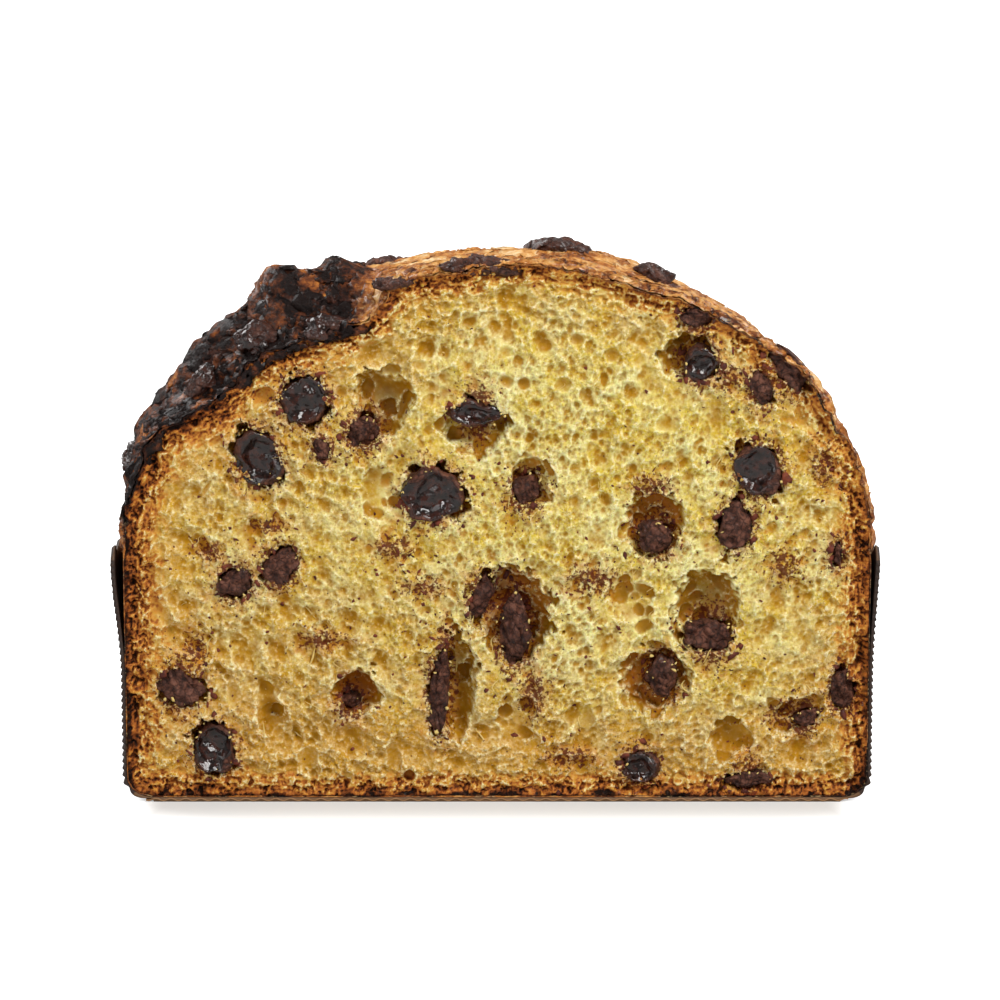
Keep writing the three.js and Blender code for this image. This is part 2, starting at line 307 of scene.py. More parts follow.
@dataclass(frozen=True)
class LoafShape:
    """The baked outside of the loaf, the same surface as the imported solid."""

    foot_radius: float = 100.8
    foot_round: float = 7.0
    base_z: float = 1.55
    shoulder_radius: float = 101.0
    shoulder_z: float = 65.0
    top_z: float = 147.0
    dome_power: float = 2.33
    relief_from: float = 74.0
    relief_full: float = 92.0
    scores: tuple[Score, ...] = (
        Score((-30, 2), (-94, 1), 10.5, 9.0, 2.6),
        Score((-8, 52), (-14, 90), 5.5, 6.5, 3.0),
    )
    ears: tuple[Row, ...] = (
        (-55, 17, 7.0, 7, 7),
        (-41, 21, 4.2, 4.5, 8),
        (-76, 18, 1.8, 9, 12),
        (-22, 34, 2.0, 16, 12),
        (14, 24, 4.2, 26, 16),
        (36, 46, 1.6, 10, 14),
        (-38, 58, 2.6, 12, 10),
        (-95, 16, 3.6, 7, 14),
        (84, 26, -2.6, 16, 18),
        (93, 2, -2.0, 7, 16),
    )

    def wall_radius(self, z: np.ndarray) -> np.ndarray:
        """Radius of the straight wall at a height."""
        share = np.clip((z - self.foot_round) / (self.shoulder_z - self.foot_round), 0.0, 1.0)
        return self.foot_radius + (self.shoulder_radius - self.foot_radius) * share

    def relief(self, points: np.ndarray) -> np.ndarray:
        """How far the crust stands out of the plain dome.

        Args:
            points: Places on the plain dome.

        Returns:
            The rise at each place.
        """
        x, y, z = points.T
        rise = 0.9 * np.sin(x / 13 + 0.6) * np.cos(y / 15)
        rise += 0.6 * np.sin(y / 8 + x / 21 + 2.1) + 0.4 * np.sin(x / 6.3 - y / 9)
        for ear_x, ear_y, height, wide, deep in self.ears:
            rise += height * np.exp(-(((x - ear_x) / wide) ** 2) - ((y - ear_y) / deep) ** 2)
        for score in self.scores:
            run = np.array(score.end) - np.array(score.start)
            length = float(np.hypot(*run))
            from_x, from_y = x - score.start[0], y - score.start[1]
            along = (from_x * run[0] + from_y * run[1]) / length**2
            off = np.abs(from_x * run[1] - from_y * run[0]) / length / score.width
            opened = smooth((along + 0.12) / 0.3) * smooth((1.08 - along) / 0.3)
            lips = score.lip * np.exp(-(((off - 1.9) / 0.6) ** 2))
            rise += opened * (lips - score.depth * np.exp(-(off**2)))
        return rise * smooth((z - self.relief_from) / (self.relief_full - self.relief_from))

    def reach(self, ways: np.ndarray) -> np.ndarray:
        """Distance from the shoulder's centre to the plain surface.

        Args:
            ways: Unit directions, one row each.

        Returns:
            The distance along each direction.
        """
        flat = np.hypot(ways[:, 0], ways[:, 1])
        up = np.clip(ways[:, 2], 0.0, None)
        down = np.clip(-ways[:, 2], 1e-6, None)
        power = self.dome_power
        rise = self.top_z - self.shoulder_z
        dome = ((flat / self.shoulder_radius) ** power + (up / rise) ** power) ** (-1 / power)
        slope = (self.shoulder_radius - self.foot_radius) / (self.shoulder_z - self.foot_round)
        wall = self.shoulder_radius / (flat + slope * down + 1e-9)
        floor = (self.shoulder_z - self.base_z) / down
        lower = np.minimum(np.minimum(wall, floor), self._foot(flat, down))
        return np.where(ways[:, 2] >= 0, dome, lower)

    def _foot(self, flat: np.ndarray, down: np.ndarray) -> np.ndarray:
        """Distance from the shoulder's centre to the rounded foot.

        Args:
            flat: How far each direction goes outward.
            down: How far each direction goes down.

        Returns:
            The distance along each direction, endless where it misses the foot.
        """
        mid_r, mid_z = self.foot_radius - self.foot_round, self.foot_round
        wide, high = self.foot_round, self.foot_round - self.base_z
        drop = self.shoulder_z - mid_z
        square = (flat / wide) ** 2 + (down / high) ** 2
        half = flat * mid_r / wide**2 + down * drop / high**2
        rest = (mid_r / wide) ** 2 + (drop / high) ** 2 - 1
        root = np.clip(half**2 - square * rest, 0.0, None)
        far = (half + np.sqrt(root)) / square
        meets = (root > 0) & (far * flat >= mid_r) & (self.shoulder_z - far * down <= mid_z)
        return np.where(meets, far, np.inf)

    def surface(self, ways: np.ndarray) -> np.ndarray:
        """Places where directions from the shoulder's centre meet the crust.

        Args:
            ways: Unit directions, one row each.

        Returns:
            The places, one row each.
        """
        centre = np.array([0.0, 0.0, self.shoulder_z])
        plain = centre + ways * self.reach(ways)[:, None]
        return plain + ways * self.relief(plain)[:, None]


@dataclass(frozen=True)
class CrustDetail:
    """Flakes, wrinkles and blisters that are too fine for the solid."""

    shape: LoafShape
    flake: float = 0.6
    wrinkle: float = 0.6
    blister: float = 1.3
    grain: float = 0.25
    ragged: float = 1.1
    hug: float = 0.27

    def streak(self, points: np.ndarray, across: float, seed: int) -> np.ndarray:
        """Noise drawn out along the edge of the cut, as the crust's layers run.

        Args:
            points: Places on the crust.
            across: Width of the streaks.
            seed: Picks the pattern.

        Returns:
            One value of about -1 to 1 for each place.
        """
        x, y, z = points.T
        along = np.arctan2(z - self.shape.shoulder_z, x) * self.shape.shoulder_radius * 0.9
        drawn = np.stack([along / 5.0, y, np.hypot(x, z - self.shape.shoulder_z) * 0.6], axis=1)
        plain = layered_noise(points, across * 2.2, seed + 3, 3)
        return plain + (layered_noise(drawn, across, seed, 3) - plain) * smooth((62 - y) / 30)

    def burnt(self, points: np.ndarray) -> np.ndarray:
        """How far the crust is charred and soaked with chocolate.

        Args:
            points: Places on the crust.

        Returns:
            From 0, golden, to 1, nearly black.
        """
        x, y, z = points.T
        blotch = layered_noise(points, 16.0, 5)
        left = smooth((-22 - x + 9 * blotch) / 26) * smooth((34 - y + 12 * blotch) / 16)
        left *= smooth((z - 74 + 8 * blotch) / 16)
        left *= 0.66 + 0.34 * smooth((layered_noise(points, 8.0, 7, 3) + 0.24) / 0.22)
        spots = 0.75 * smooth((layered_noise(points, 21.0, 17) - 0.32) / 0.2)
        return np.clip(np.maximum(left, spots * smooth((z - 78) / 20)), 0.0, 1.0)

    def browned(self, points: np.ndarray) -> np.ndarray:
        """How much darker the left shoulder's smooth outer skin is baked.

        Args:
            points: Places on the crust.

        Returns:
            What it adds to the bake level.
        """
        x, y, z = points.T
        reach = smooth((-28 - x + 10 * layered_noise(points, 24.0, 83, 3)) / 26)
        return 0.4 * reach * smooth((z - 68) / 14) * smooth((80 - y) / 30)

    def rise(self, points: np.ndarray) -> np.ndarray:
        """Extra height of the crust over the solid's relief.

        Args:
            points: Places on the crust.

        Returns:
            The extra height at each place.
        """
        open_air = smooth((points[:, 2] - 66) / 12)
        sheets = 2.6 * self.streak(points, 5.0, 23)
        step = np.floor(sheets) + smooth((sheets - np.floor(sheets)) / 0.14) - sheets
        creases = np.abs(self.streak(points, 3.2, 31))
        crumple = np.abs(self.streak(points, 4.2, 43))
        charred = self.burnt(points) * (1.0 - 0.6 * smooth((points[:, 1] - 8) / 12))
        rise = self.flake * step - self.wrinkle * (1 - smooth(creases / 0.22))
        rise += charred * self.blister * (0.4 - (1 - smooth(crumple / 0.3)) + layered_noise(points, 5.5, 67, 3))
        rise += self.grain * layered_noise(points, 2.4, 57, 3)
        tatters = self.streak(points, 1.5, 103) + layered_noise(points, 1.3, 107, 2)
        rise += self.ragged * (np.abs(tatters) - 0.3) * np.exp(-points[:, 1] / 2.2)
        return rise * open_air + self.hug * (1 - open_air)


class Graph:
    """Adds and joins shader nodes in one tree."""

    def __init__(self, tree: bpy.types.NodeTree) -> None:
        """Keeps the tree that nodes are added to."""
        self.tree = tree

    def add(self, kind: str, **settings: object) -> bpy.types.Node:
        """Adds a node.

        Args:
            kind: The node's type name.
            **settings: Values of the node's own properties.

        Returns:
            The new node.
        """
        node = self.tree.nodes.new(kind)
        for name, value in settings.items():
            setattr(node, name, value)
        return node

    def feed(self, socket: Socket, source: object) -> None:
        """Joins a source to a socket, or sets the socket to a plain value."""
        if isinstance(source, bpy.types.NodeSocket):
            self.tree.links.new(source, socket)
        else:
            socket.default_value = source

    def attribute(self, name: str) -> Socket:
        """Reads one number that the mesh keeps for each corner."""
        return self.add("ShaderNodeAttribute", attribute_name=name).outputs["Fac"]

    def place(self) -> Socket:
        """The place on the object, in metres."""
        return self.add("ShaderNodeTexCoord").outputs["Object"]

    def stretched(self, stretch: Colour) -> Socket:
        """The place on the object with each direction scaled."""
        node = self.add("ShaderNodeMapping")
        self.feed(node.inputs["Vector"], self.place())
        node.inputs["Scale"].default_value = stretch
        return node.outputs[0]

    def warped(self, size: float, reach: float) -> Socket:
        """The place on the object, pushed about by noise.

        Args:
            size: Length over which the push changes, in millimetres.
            reach: Most that a place is pushed, in millimetres.

        Returns:
            The pushed place.
        """
        cloud = self.add("ShaderNodeTexNoise")
        self.feed(cloud.inputs["Vector"], self.place())
        cloud.inputs["Scale"].default_value = 1 / (size * MM)
        centred = self.add("ShaderNodeVectorMath", operation="MULTIPLY_ADD")
        self.feed(centred.inputs[0], cloud.outputs["Color"])
        centred.inputs[1].default_value = (2 * reach * MM,) * 3
        self.feed(centred.inputs[2], self.place())
        return centred.outputs[0]

    def noise(self, size: float, detail: float = 3.0, place: Socket | None = None) -> Socket:
        """Cloudy noise.

        Args:
            size: Length in millimetres over which it changes.
            detail: How many finer layers it has.
            place: Where it is read, or the plain place on the object.

        Returns:
            A value from 0 to 1.
        """
        node = self.add("ShaderNodeTexNoise")
        self.feed(node.inputs["Vector"], place or self.place())
        node.inputs["Scale"].default_value = 1 / (size * MM)
        node.inputs["Detail"].default_value = detail
        node.inputs["Roughness"].default_value = 0.6
        return node.outputs[0]

    def cells(self, size: float, feature: str = "F1", place: Socket | None = None) -> Socket:
        """Distance to scattered points, or to the borders between their cells.

        Args:
            size: Distance between the points, in millimetres.
            feature: Which distance is measured.
            place: Where it is read, or the plain place on the object.

        Returns:
            The distance in cells.
        """
        node = self.add("ShaderNodeTexVoronoi", feature=feature)
        self.feed(node.inputs["Vector"], place or self.place())
        node.inputs["Scale"].default_value = 1 / (size * MM)
        return node.outputs["Distance"]

    def sum(self, first: object, second: object, kind: str = "ADD") -> Socket:
        """Joins two values by a sum, product or other rule."""
        node = self.add("ShaderNodeMath", operation=kind, use_clamp=False)
        self.feed(node.inputs[0], first)
        self.feed(node.inputs[1], second)
        return node.outputs[0]

    def between(self, value: Socket, low: float, high: float, to: tuple[float, float] = (0.0, 1.0)) -> Socket:
        """Stretches a range of a value over another range, eased and held at its ends.

        Args:
            value: The value.
            low: Start of its range.
            high: End of its range.
            to: What the start and end become.

        Returns:
            The stretched value.
        """
        node = self.add("ShaderNodeMapRange", interpolation_type="SMOOTHSTEP")
        self.feed(node.inputs["Value"], value)
        for name, number in zip(("From Min", "From Max", "To Min", "To Max"), (low, high, *to)):
            node.inputs[name].default_value = number
        return node.outputs[0]

    def blend(self, share: object, first: object, second: object, kind: str = "MIX") -> Socket:
        """Mixes two colours.

        Args:
            share: How much of the second colour shows.
            first: The first colour.
            second: The second colour.
            kind: How they are mixed.

        Returns:
            The mixed colour.
        """
        node = self.add("ShaderNodeMix", data_type="RGBA", blend_type=kind)
        self.feed(node.inputs[0], share)
        self.feed(node.inputs[6], first)
        self.feed(node.inputs[7], second)
        return node.outputs[2]

    def ramp(self, value: Socket, stops: Sequence[tuple[float, tuple]]) -> Socket:
        """Turns a value into a colour by a row of stops."""
        node = self.add("ShaderNodeValToRGB")
        self.feed(node.inputs[0], value)
        parts = node.color_ramp.elements
        while len(parts) < len(stops):
            parts.new(0.5)
        for part, (at, colour) in zip(parts, stops):
            part.position = at
            part.color = colour
        return node.outputs[0]

    def bump(self, height: Socket, depth: float, strength: float = 1.0, under: Socket | None = None) -> Socket:
        """Makes small relief from a height.

        Args:
            height: The height, from 0 to 1.
            depth: How much a height of 1 is, in millimetres.
            strength: How much of it shows.
            under: Relief that it lies on.

        Returns:
            The bent normal.
        """
        node = self.add("ShaderNodeBump")
        self.feed(node.inputs["Height"], height)
        node.inputs["Distance"].default_value = depth * MM
        node.inputs["Strength"].default_value = strength
        if under is not None:
            self.feed(node.inputs["Normal"], under)
        return node.outputs[0]

    def group(self, tree: bpy.types.NodeTree, **values: object) -> bpy.types.Node:
        """Places a node group with its own values.

        Args:
            tree: The group.
            **values: What its inputs get, by name with _ for a space.

        Returns:
            The group's node.
        """
        node = self.add("ShaderNodeGroup", node_tree=tree)
        for name, value in values.items():
            self.feed(node.inputs[name.replace("_", " ")], value)
        return node


def new_group(name: str, takes: dict[str, float], gives: dict[str, str]) -> tuple[Graph, dict, dict]:
    """Starts a shader node group.

    Args:
        name: Name of the group.
        takes: Its number inputs with their values when nothing is joined.
        gives: Its outputs with their socket types.

    Returns:
        The graph, the sockets that bring the inputs and the sockets that take the outputs.
    """
    tree = bpy.data.node_groups.new(name, "ShaderNodeTree")
    for title, value in takes.items():
        made = tree.interface.new_socket(name=title, in_out="INPUT", socket_type="NodeSocketFloat")
        made.default_value = value
    for title, kind in gives.items():
        tree.interface.new_socket(name=title, in_out="OUTPUT", socket_type=kind)
    graph = Graph(tree)
    start = graph.add("NodeGroupInput")
    end = graph.add("NodeGroupOutput")
    return graph, {t: start.outputs[t] for t in takes}, {t: end.inputs[t] for t in gives}


class SharedEffects:
    """Node groups that more than one finish uses, each built once."""

    def __init__(self) -> None:
        """Builds the groups."""
        self.bake_tone = self._bake_tone()
        self.crumb_grain = self._crumb_grain()
        self.cocoa = self._cocoa()

    @staticmethod
    def _bake_tone() -> bpy.types.NodeTree:
        """Browning of dough from pale to burnt.

        Returns:
            A group that turns a bake level into a colour with mottled tone.
        """
        graph, takes, gives = new_group("bake_tone", {"Level": 0.5, "Mottle": 0.12}, {"Color": "NodeSocketColor"})
        cloud = graph.sum(graph.noise(2.2, 4.0), 0.5, "SUBTRACT")
        level = graph.sum(takes["Level"], graph.sum(graph.sum(cloud, takes["Mottle"], "MULTIPLY"), 2.0, "MULTIPLY"))
        stops = (
            (0.0, srgb(220, 188, 98)),
            (0.22, srgb(204, 146, 62)),
            (0.45, srgb(172, 102, 44)),
            (0.68, srgb(114, 60, 28)),
            (0.86, srgb(64, 31, 15)),
            (1.0, srgb(28, 16, 12)),
        )
        graph.feed(gives["Color"], graph.ramp(level, stops))
        return graph.tree

    @staticmethod
    def _crumb_grain() -> bpy.types.NodeTree:
        """Fine open pores of torn dough.

        Returns:
            A group that gives a height and a mask of the pores.
        """
        gives_kinds = {"Height": "NodeSocketFloat", "Pores": "NodeSocketFloat"}
        graph, takes, gives = new_group("crumb_grain", {"Depth": 1.0}, gives_kinds)
        bent = graph.warped(1.4, 0.45)
        large = graph.between(graph.cells(1.0, place=bent), 0.14, 0.52)
        small = graph.between(graph.cells(0.5, place=bent), 0.1, 0.55)
        fibre = graph.noise(0.5, 4.0)
        patches = graph.between(graph.noise(3.4, 3.0), 0.36, 0.6)
        walls = graph.sum(graph.sum(large, patches, "MAXIMUM"), small, "MULTIPLY")
        height = graph.sum(graph.sum(walls, 0.75, "MULTIPLY"), graph.sum(fibre, 0.45, "MULTIPLY"))
        graph.feed(gives["Height"], graph.sum(height, takes["Depth"], "MULTIPLY"))
        graph.feed(gives["Pores"], graph.sum(1.0, walls, "SUBTRACT"))
        return graph.tree

    @staticmethod
    def _cocoa() -> bpy.types.NodeTree:
        """Chocolate with dull bloom and small cracks, painted darker along the cracks as painted shade.

        Returns:
            A group that gives the colour, the cracks' height and the bloom mask.
        """
        gives_kinds = {"Color": "NodeSocketColor", "Height": "NodeSocketFloat", "Bloom": "NodeSocketFloat"}
        graph, takes, gives = new_group("cocoa", {"Melted": 0.0}, gives_kinds)
        cloud = graph.noise(2.6, 5.0)
        bloom = graph.sum(graph.between(cloud, 0.42, 0.66), graph.sum(1.0, takes["Melted"], "SUBTRACT"), "MULTIPLY")
        dark = graph.blend(graph.between(graph.noise(1.1, 4.0), 0.3, 0.7), srgb(40, 19, 12), srgb(84, 46, 33))
        dull = graph.blend(bloom, dark, srgb(112, 70, 54))
        crack = graph.between(graph.cells(2.3, "DISTANCE_TO_EDGE", graph.warped(2.0, 1.1)), 0.0, 0.1)
        gritty = graph.noise(0.35, 3.0)
        # Painted shade: the colour is darkened nearly to black along the cracks.
        broken = graph.sum(graph.sum(1.0, crack, "SUBTRACT"), 0.6, "MULTIPLY")
        shade = graph.blend(broken, dull, srgb(26, 13, 10))
        syrup = graph.blend(graph.between(graph.noise(2.0, 3.0), 0.42, 0.62), srgb(20, 8, 5), srgb(54, 24, 15))
        graph.feed(gives["Color"], graph.blend(takes["Melted"], shade, syrup))
        rough_height = graph.sum(graph.sum(crack, 0.5, "MULTIPLY"), graph.sum(gritty, 0.5, "MULTIPLY"))
        even = graph.sum(graph.sum(1.0, takes["Melted"], "SUBTRACT"), 0.06, "MAXIMUM")
        graph.feed(gives["Height"], graph.sum(rough_height, even, "MULTIPLY"))
        graph.feed(gives["Bloom"], bloom)
        return graph.tree


def new_material(name: str) -> tuple[bpy.types.Material, Graph, bpy.types.Node]:
    """Starts a material.

    Args:
        name: Name of the material.

    Returns:
        The material, its graph and its Principled shader.
    """
    material = bpy.data.materials.new(name)
    material.use_nodes = True
    tree = material.node_tree
    return material, Graph(tree), tree.nodes["Principled BSDF"]


@dataclass(frozen=True)
class CrumbFinish:
    """Yellow open crumb that browns towards the crust, with painted shade in its pores, pits, hollows and deep holes
    and towards its lower and left parts, and a painted highlight on its ridges.
    """

    pale: tuple = srgb(232, 227, 152)
    golden: tuple = srgb(215, 190, 68)
    # Orange for the crumb's own browning, also used as painted shade towards the lower and left parts.
    warm_and_shade: tuple = srgb(192, 134, 32)
    # Amber for the smooth bubble walls, and as painted shade in pores, pits and hollows.
    amber: tuple = srgb(167, 116, 4)
    # Darker brown painted into deep holes as painted shade.
    deep: tuple = srgb(108, 56, 4)
    # Pale torn fibres, also painted on ridges as a painted highlight.
    torn: tuple = srgb(250, 242, 198)
    stained: tuple = srgb(92, 34, 22)
    halo: tuple = srgb(184, 110, 40)
    soaked: tuple = srgb(150, 80, 18)
    membrane_gloss: float = 0.1

    def material(self, effects: SharedEffects) -> bpy.types.Material:
        """Builds the material.

        Args:
            effects: The shared node groups.

        Returns:
            The material.
        """
        made, graph, shader = new_material("crumb")
        grain = graph.group(effects.crumb_grain, Depth=1.0)
        smooth_wall = graph.attribute("cell")
        cloud = graph.between(graph.noise(9.0, 4.0), 0.35, 0.65)
        colour = graph.blend(cloud, self.pale, self.golden)
        # Own browning near the crust and at random, plus painted shade towards the lower and left parts.
        colour = graph.blend(graph.sum(graph.attribute("warm_and_shade"), 0.8, "MULTIPLY"), colour, self.warm_and_shade)
        # Painted shade: the fine pores are painted amber, as if shaded inside.
        pores = graph.sum(grain.outputs["Pores"], graph.sum(1.0, smooth_wall, "SUBTRACT"), "MULTIPLY")
        fine = graph.between(graph.noise(0.8, 5.0), 0.4, 0.62)
        colour = graph.blend(graph.sum(pores, 0.5, "MULTIPLY"), colour, self.amber)
        # Painted shade: the small pits are painted amber.
        colour = graph.blend(graph.sum(graph.attribute("pit_shade"), 0.7, "MULTIPLY"), colour, self.amber)
        colour = graph.blend(graph.sum(fine, 0.22, "MULTIPLY"), colour, self.torn)
        colour = graph.blend(graph.sum(smooth_wall, 0.16, "MULTIPLY"), colour, self.amber)
        # Painted shade: hollows are painted amber, and deep holes darker brown towards their bottoms.
        colour = graph.blend(graph.sum(graph.attribute("hollow"), 0.9, "MULTIPLY"), colour, self.amber)
        colour = graph.blend(graph.attribute("deep"), colour, self.deep)
        colour = graph.blend(graph.attribute("soak"), colour, self.soaked)
        streak = graph.between(graph.noise(0.8, 4.0), 0.4, 0.62)
        # Pale torn fibres on the ridges, partly a painted highlight on raised rims.
        rim = graph.sum(graph.attribute("ridge_fibre_and_highlight"), streak, "MULTIPLY")
        colour = graph.blend(graph.sum(rim, 0.75, "MULTIPLY"), colour, self.torn)
        toast = graph.attribute("toast")
        # Painted shade and highlight in the toasted rim: baked darker in pores and pits, paler on raised ridges.
        holes = graph.sum(graph.sum(pores, 0.22, "MULTIPLY"), graph.sum(graph.attribute("pit_shade"), 0.3, "MULTIPLY"))
        raised = graph.sum(graph.sum(graph.attribute("ridge_fibre_and_highlight"), 0.26, "MULTIPLY"), 0.06)
        uneven = graph.sum(holes, raised, "SUBTRACT")
        level = graph.sum(toast, graph.sum(uneven, graph.between(toast, 0.02, 0.4), "MULTIPLY"))
        baked = graph.group(effects.bake_tone, Level=level, Mottle=0.16)
        colour = graph.blend(graph.between(level, 0.02, 0.3), colour, baked.outputs["Color"])
        soaking = graph.between(graph.sum(graph.attribute("stain"), graph.noise(2.4, 3.0)), 0.62, 0.95)
        colour = graph.blend(graph.sum(soaking, 0.5, "MULTIPLY"), colour, self.halo)
        spotted = graph.between(graph.sum(graph.attribute("stain"), graph.noise(1.1, 4.0)), 0.78, 0.88)
        colour = graph.blend(graph.sum(spotted, 0.9, "MULTIPLY"), colour, self.stained)
        graph.feed(shader.inputs["Base Color"], colour)
        graph.feed(shader.inputs["Roughness"], graph.between(smooth_wall, 0.0, 1.0, (0.66, 0.34)))
        graph.feed(shader.inputs["Coat Weight"], graph.sum(smooth_wall, self.membrane_gloss, "MULTIPLY"))
        shader.inputs["Coat Roughness"].default_value = 0.22
        shader.inputs["Specular IOR Level"].default_value = 0.04
        shader.inputs["Subsurface Weight"].default_value = 0.25
        shader.inputs["Subsurface Radius"].default_value = (1.0, 0.62, 0.2)
        shader.inputs["Subsurface Scale"].default_value = 1.6 * MM
        depth = graph.sum(grain.outputs["Height"], graph.between(smooth_wall, 0.0, 1.0, (1.0, 0.12)), "MULTIPLY")
        graph.feed(shader.inputs["Normal"], graph.bump(depth, 0.3, 0.8))
        return made


@dataclass(frozen=True)
class CrustFinish:
    """Flaky baked crust, golden on top and burnt at the left shoulder."""

    gloss: float = 0.5
    dry_gloss: float = 0.3
    tones: tuple = (
        (0.0, srgb(242, 216, 170)),
        (0.25, srgb(218, 160, 88)),
        (0.48, srgb(176, 106, 44)),
        (0.7, srgb(110, 57, 26)),
        (0.87, srgb(60, 31, 18)),
        (1.0, srgb(24, 13, 10)),
    )

    def material(self, effects: SharedEffects) -> bpy.types.Material:
        """Builds the material.

        Args:
            effects: The shared node groups.

        Returns:
            The material.
        """
        made, graph, shader = new_material("crust")
        burnt = graph.attribute("burnt")
        cloud = graph.sum(graph.between(graph.noise(5.5, 5.0), 0.3, 0.7), 0.34, "MULTIPLY")
        fine = graph.sum(graph.between(graph.noise(1.7, 4.0), 0.3, 0.7), 0.26, "MULTIPLY")
        level = graph.sum(graph.attribute("bake"), graph.sum(graph.sum(cloud, fine), 0.13, "SUBTRACT"))
        baked = graph.ramp(level, self.tones)
        fleck = graph.between(graph.noise(1.4, 5.0, graph.stretched((1.0, 1.0, 2.2))), 0.52, 0.68)
        light = graph.sum(fleck, graph.between(burnt, 0.1, 0.5, (1.0, 0.0)), "MULTIPLY")
        colour = graph.blend(graph.sum(light, 0.4, "MULTIPLY"), baked, srgb(234, 196, 138))
        cocoa = graph.group(effects.cocoa, Melted=0.5)
        patch = graph.between(graph.sum(burnt, graph.noise(4.0, 4.0)), 1.25, 1.5)
        colour = graph.blend(patch, colour, cocoa.outputs["Color"])
        graph.feed(shader.inputs["Base Color"], colour)
        graph.feed(shader.inputs["Roughness"], graph.between(graph.noise(3.0, 3.0), 0.3, 0.7, (0.34, 0.6)))
        glaze = graph.between(graph.noise(7.0, 3.0), 0.35, 0.65, (0.1, self.gloss))
        dry = graph.between(burnt, 0.3, 0.7, (1.0, self.dry_gloss))
        graph.feed(shader.inputs["Coat Weight"], graph.sum(glaze, dry, "MULTIPLY"))
        shader.inputs["Coat Roughness"].default_value = 0.14
        shader.inputs["Specular IOR Level"].default_value = 0.12
        grain = graph.group(effects.crumb_grain, Depth=0.35)
        wrinkle = graph.bump(graph.noise(2.4, 5.0, graph.stretched((1.0, 1.0, 1.8))), 1.1, 0.9)
        graph.feed(shader.inputs["Normal"], graph.bump(grain.outputs["Height"], 0.3, 0.6, wrinkle))
        return made


class ChocolateKind(Enum):
    """How a piece of chocolate looks."""

    MELTED = "melted"
    BROKEN = "broken"
    BAKED = "baked"


@dataclass(frozen=True)
class ChocolateFinish:
    """Dark chocolate, melted and glossy or broken and dull."""

    kind: ChocolateKind

    def material(self, effects: SharedEffects) -> bpy.types.Material:
        """Builds the material.

        Args:
            effects: The shared node groups.

        Returns:
            The material.
        """
        made, graph, shader = new_material(f"chocolate_{self.kind.value}")
        melted = graph.attribute("melt")
        cocoa = graph.group(effects.cocoa, Melted=melted)
        graph.feed(shader.inputs["Base Color"], cocoa.outputs["Color"])
        rough = {ChocolateKind.MELTED: (0.5, 0.1), ChocolateKind.BROKEN: (0.6, 0.25), ChocolateKind.BAKED: (0.52, 0.25)}
        spread = graph.sum(melted, graph.sum(graph.noise(1.8, 3.0), 0.25, "MULTIPLY"), "SUBTRACT")
        graph.feed(shader.inputs["Roughness"], graph.between(spread, 0.0, 0.7, rough[self.kind]))
        graph.feed(shader.inputs["Coat Weight"], graph.sum(melted, 0.6, "MULTIPLY"))
        shader.inputs["Coat Roughness"].default_value = 0.05
        shader.inputs["Specular IOR Level"].default_value = 0.25
        ripple = graph.bump(graph.noise(3.0, 2.0), 1.2, 0.8)
        graph.feed(shader.inputs["Normal"], graph.bump(cocoa.outputs["Height"], 0.4, 0.8, ripple))
        return made


@dataclass(frozen=True)
class SpeckFinish:
    """Reddish brown specks of chocolate, soaked into the crumb."""

    dark: tuple = srgb(66, 26, 20)
    light: tuple = srgb(122, 60, 40)

    def material(self) -> bpy.types.Material:
        """Builds the material.

        Returns:
            The material.
        """
        made, graph, shader = new_material("chocolate_speck")
        tone = graph.between(graph.noise(2.4, 4.0), 0.35, 0.65)
        graph.feed(shader.inputs["Base Color"], graph.blend(tone, self.dark, self.light))
        graph.feed(shader.inputs["Roughness"], graph.between(tone, 0.0, 1.0, (0.5, 0.75)))
        shader.inputs["Specular IOR Level"].default_value = 0.25
        graph.feed(shader.inputs["Normal"], graph.bump(graph.noise(0.4, 2.0), 0.2, 0.6))
        return made


@dataclass(frozen=True)
class PaperFinish:
    """Dark brown baking paper, paler where its flutes and edges are rubbed."""

    def material(self, effects: SharedEffects) -> bpy.types.Material:
        """Builds the material.

        Args:
            effects: The shared node groups; not used.

        Returns:
            The material.
        """
        made, graph, shader = new_material("case_paper")
        fibre = graph.noise(0.7, 3.2, graph.stretched((1.0, 1.0, 3.0)))
        brown = graph.blend(graph.between(fibre, 0.3, 0.7), srgb(28, 17, 12), srgb(54, 33, 21))
        worn = graph.sum(graph.attribute("crest"), graph.between(graph.noise(4.0, 4.0), 0.35, 0.7), "MULTIPLY")
        colour = graph.blend(graph.sum(worn, 0.3, "MULTIPLY"), brown, srgb(96, 66, 44))
        grease = graph.between(graph.noise(22.0, 3.0), 0.45, 0.65)
        colour = graph.blend(graph.sum(grease, 0.35, "MULTIPLY"), colour, srgb(34, 20, 14))
        colour = graph.blend(graph.attribute("edge"), colour, srgb(150, 108, 66))
        graph.feed(shader.inputs["Base Color"], colour)
        graph.feed(shader.inputs["Roughness"], graph.between(grease, 0.0, 1.0, (0.72, 0.5)))
        graph.feed(shader.inputs["Normal"], graph.bump(fibre, 0.15, 0.6))
        return made


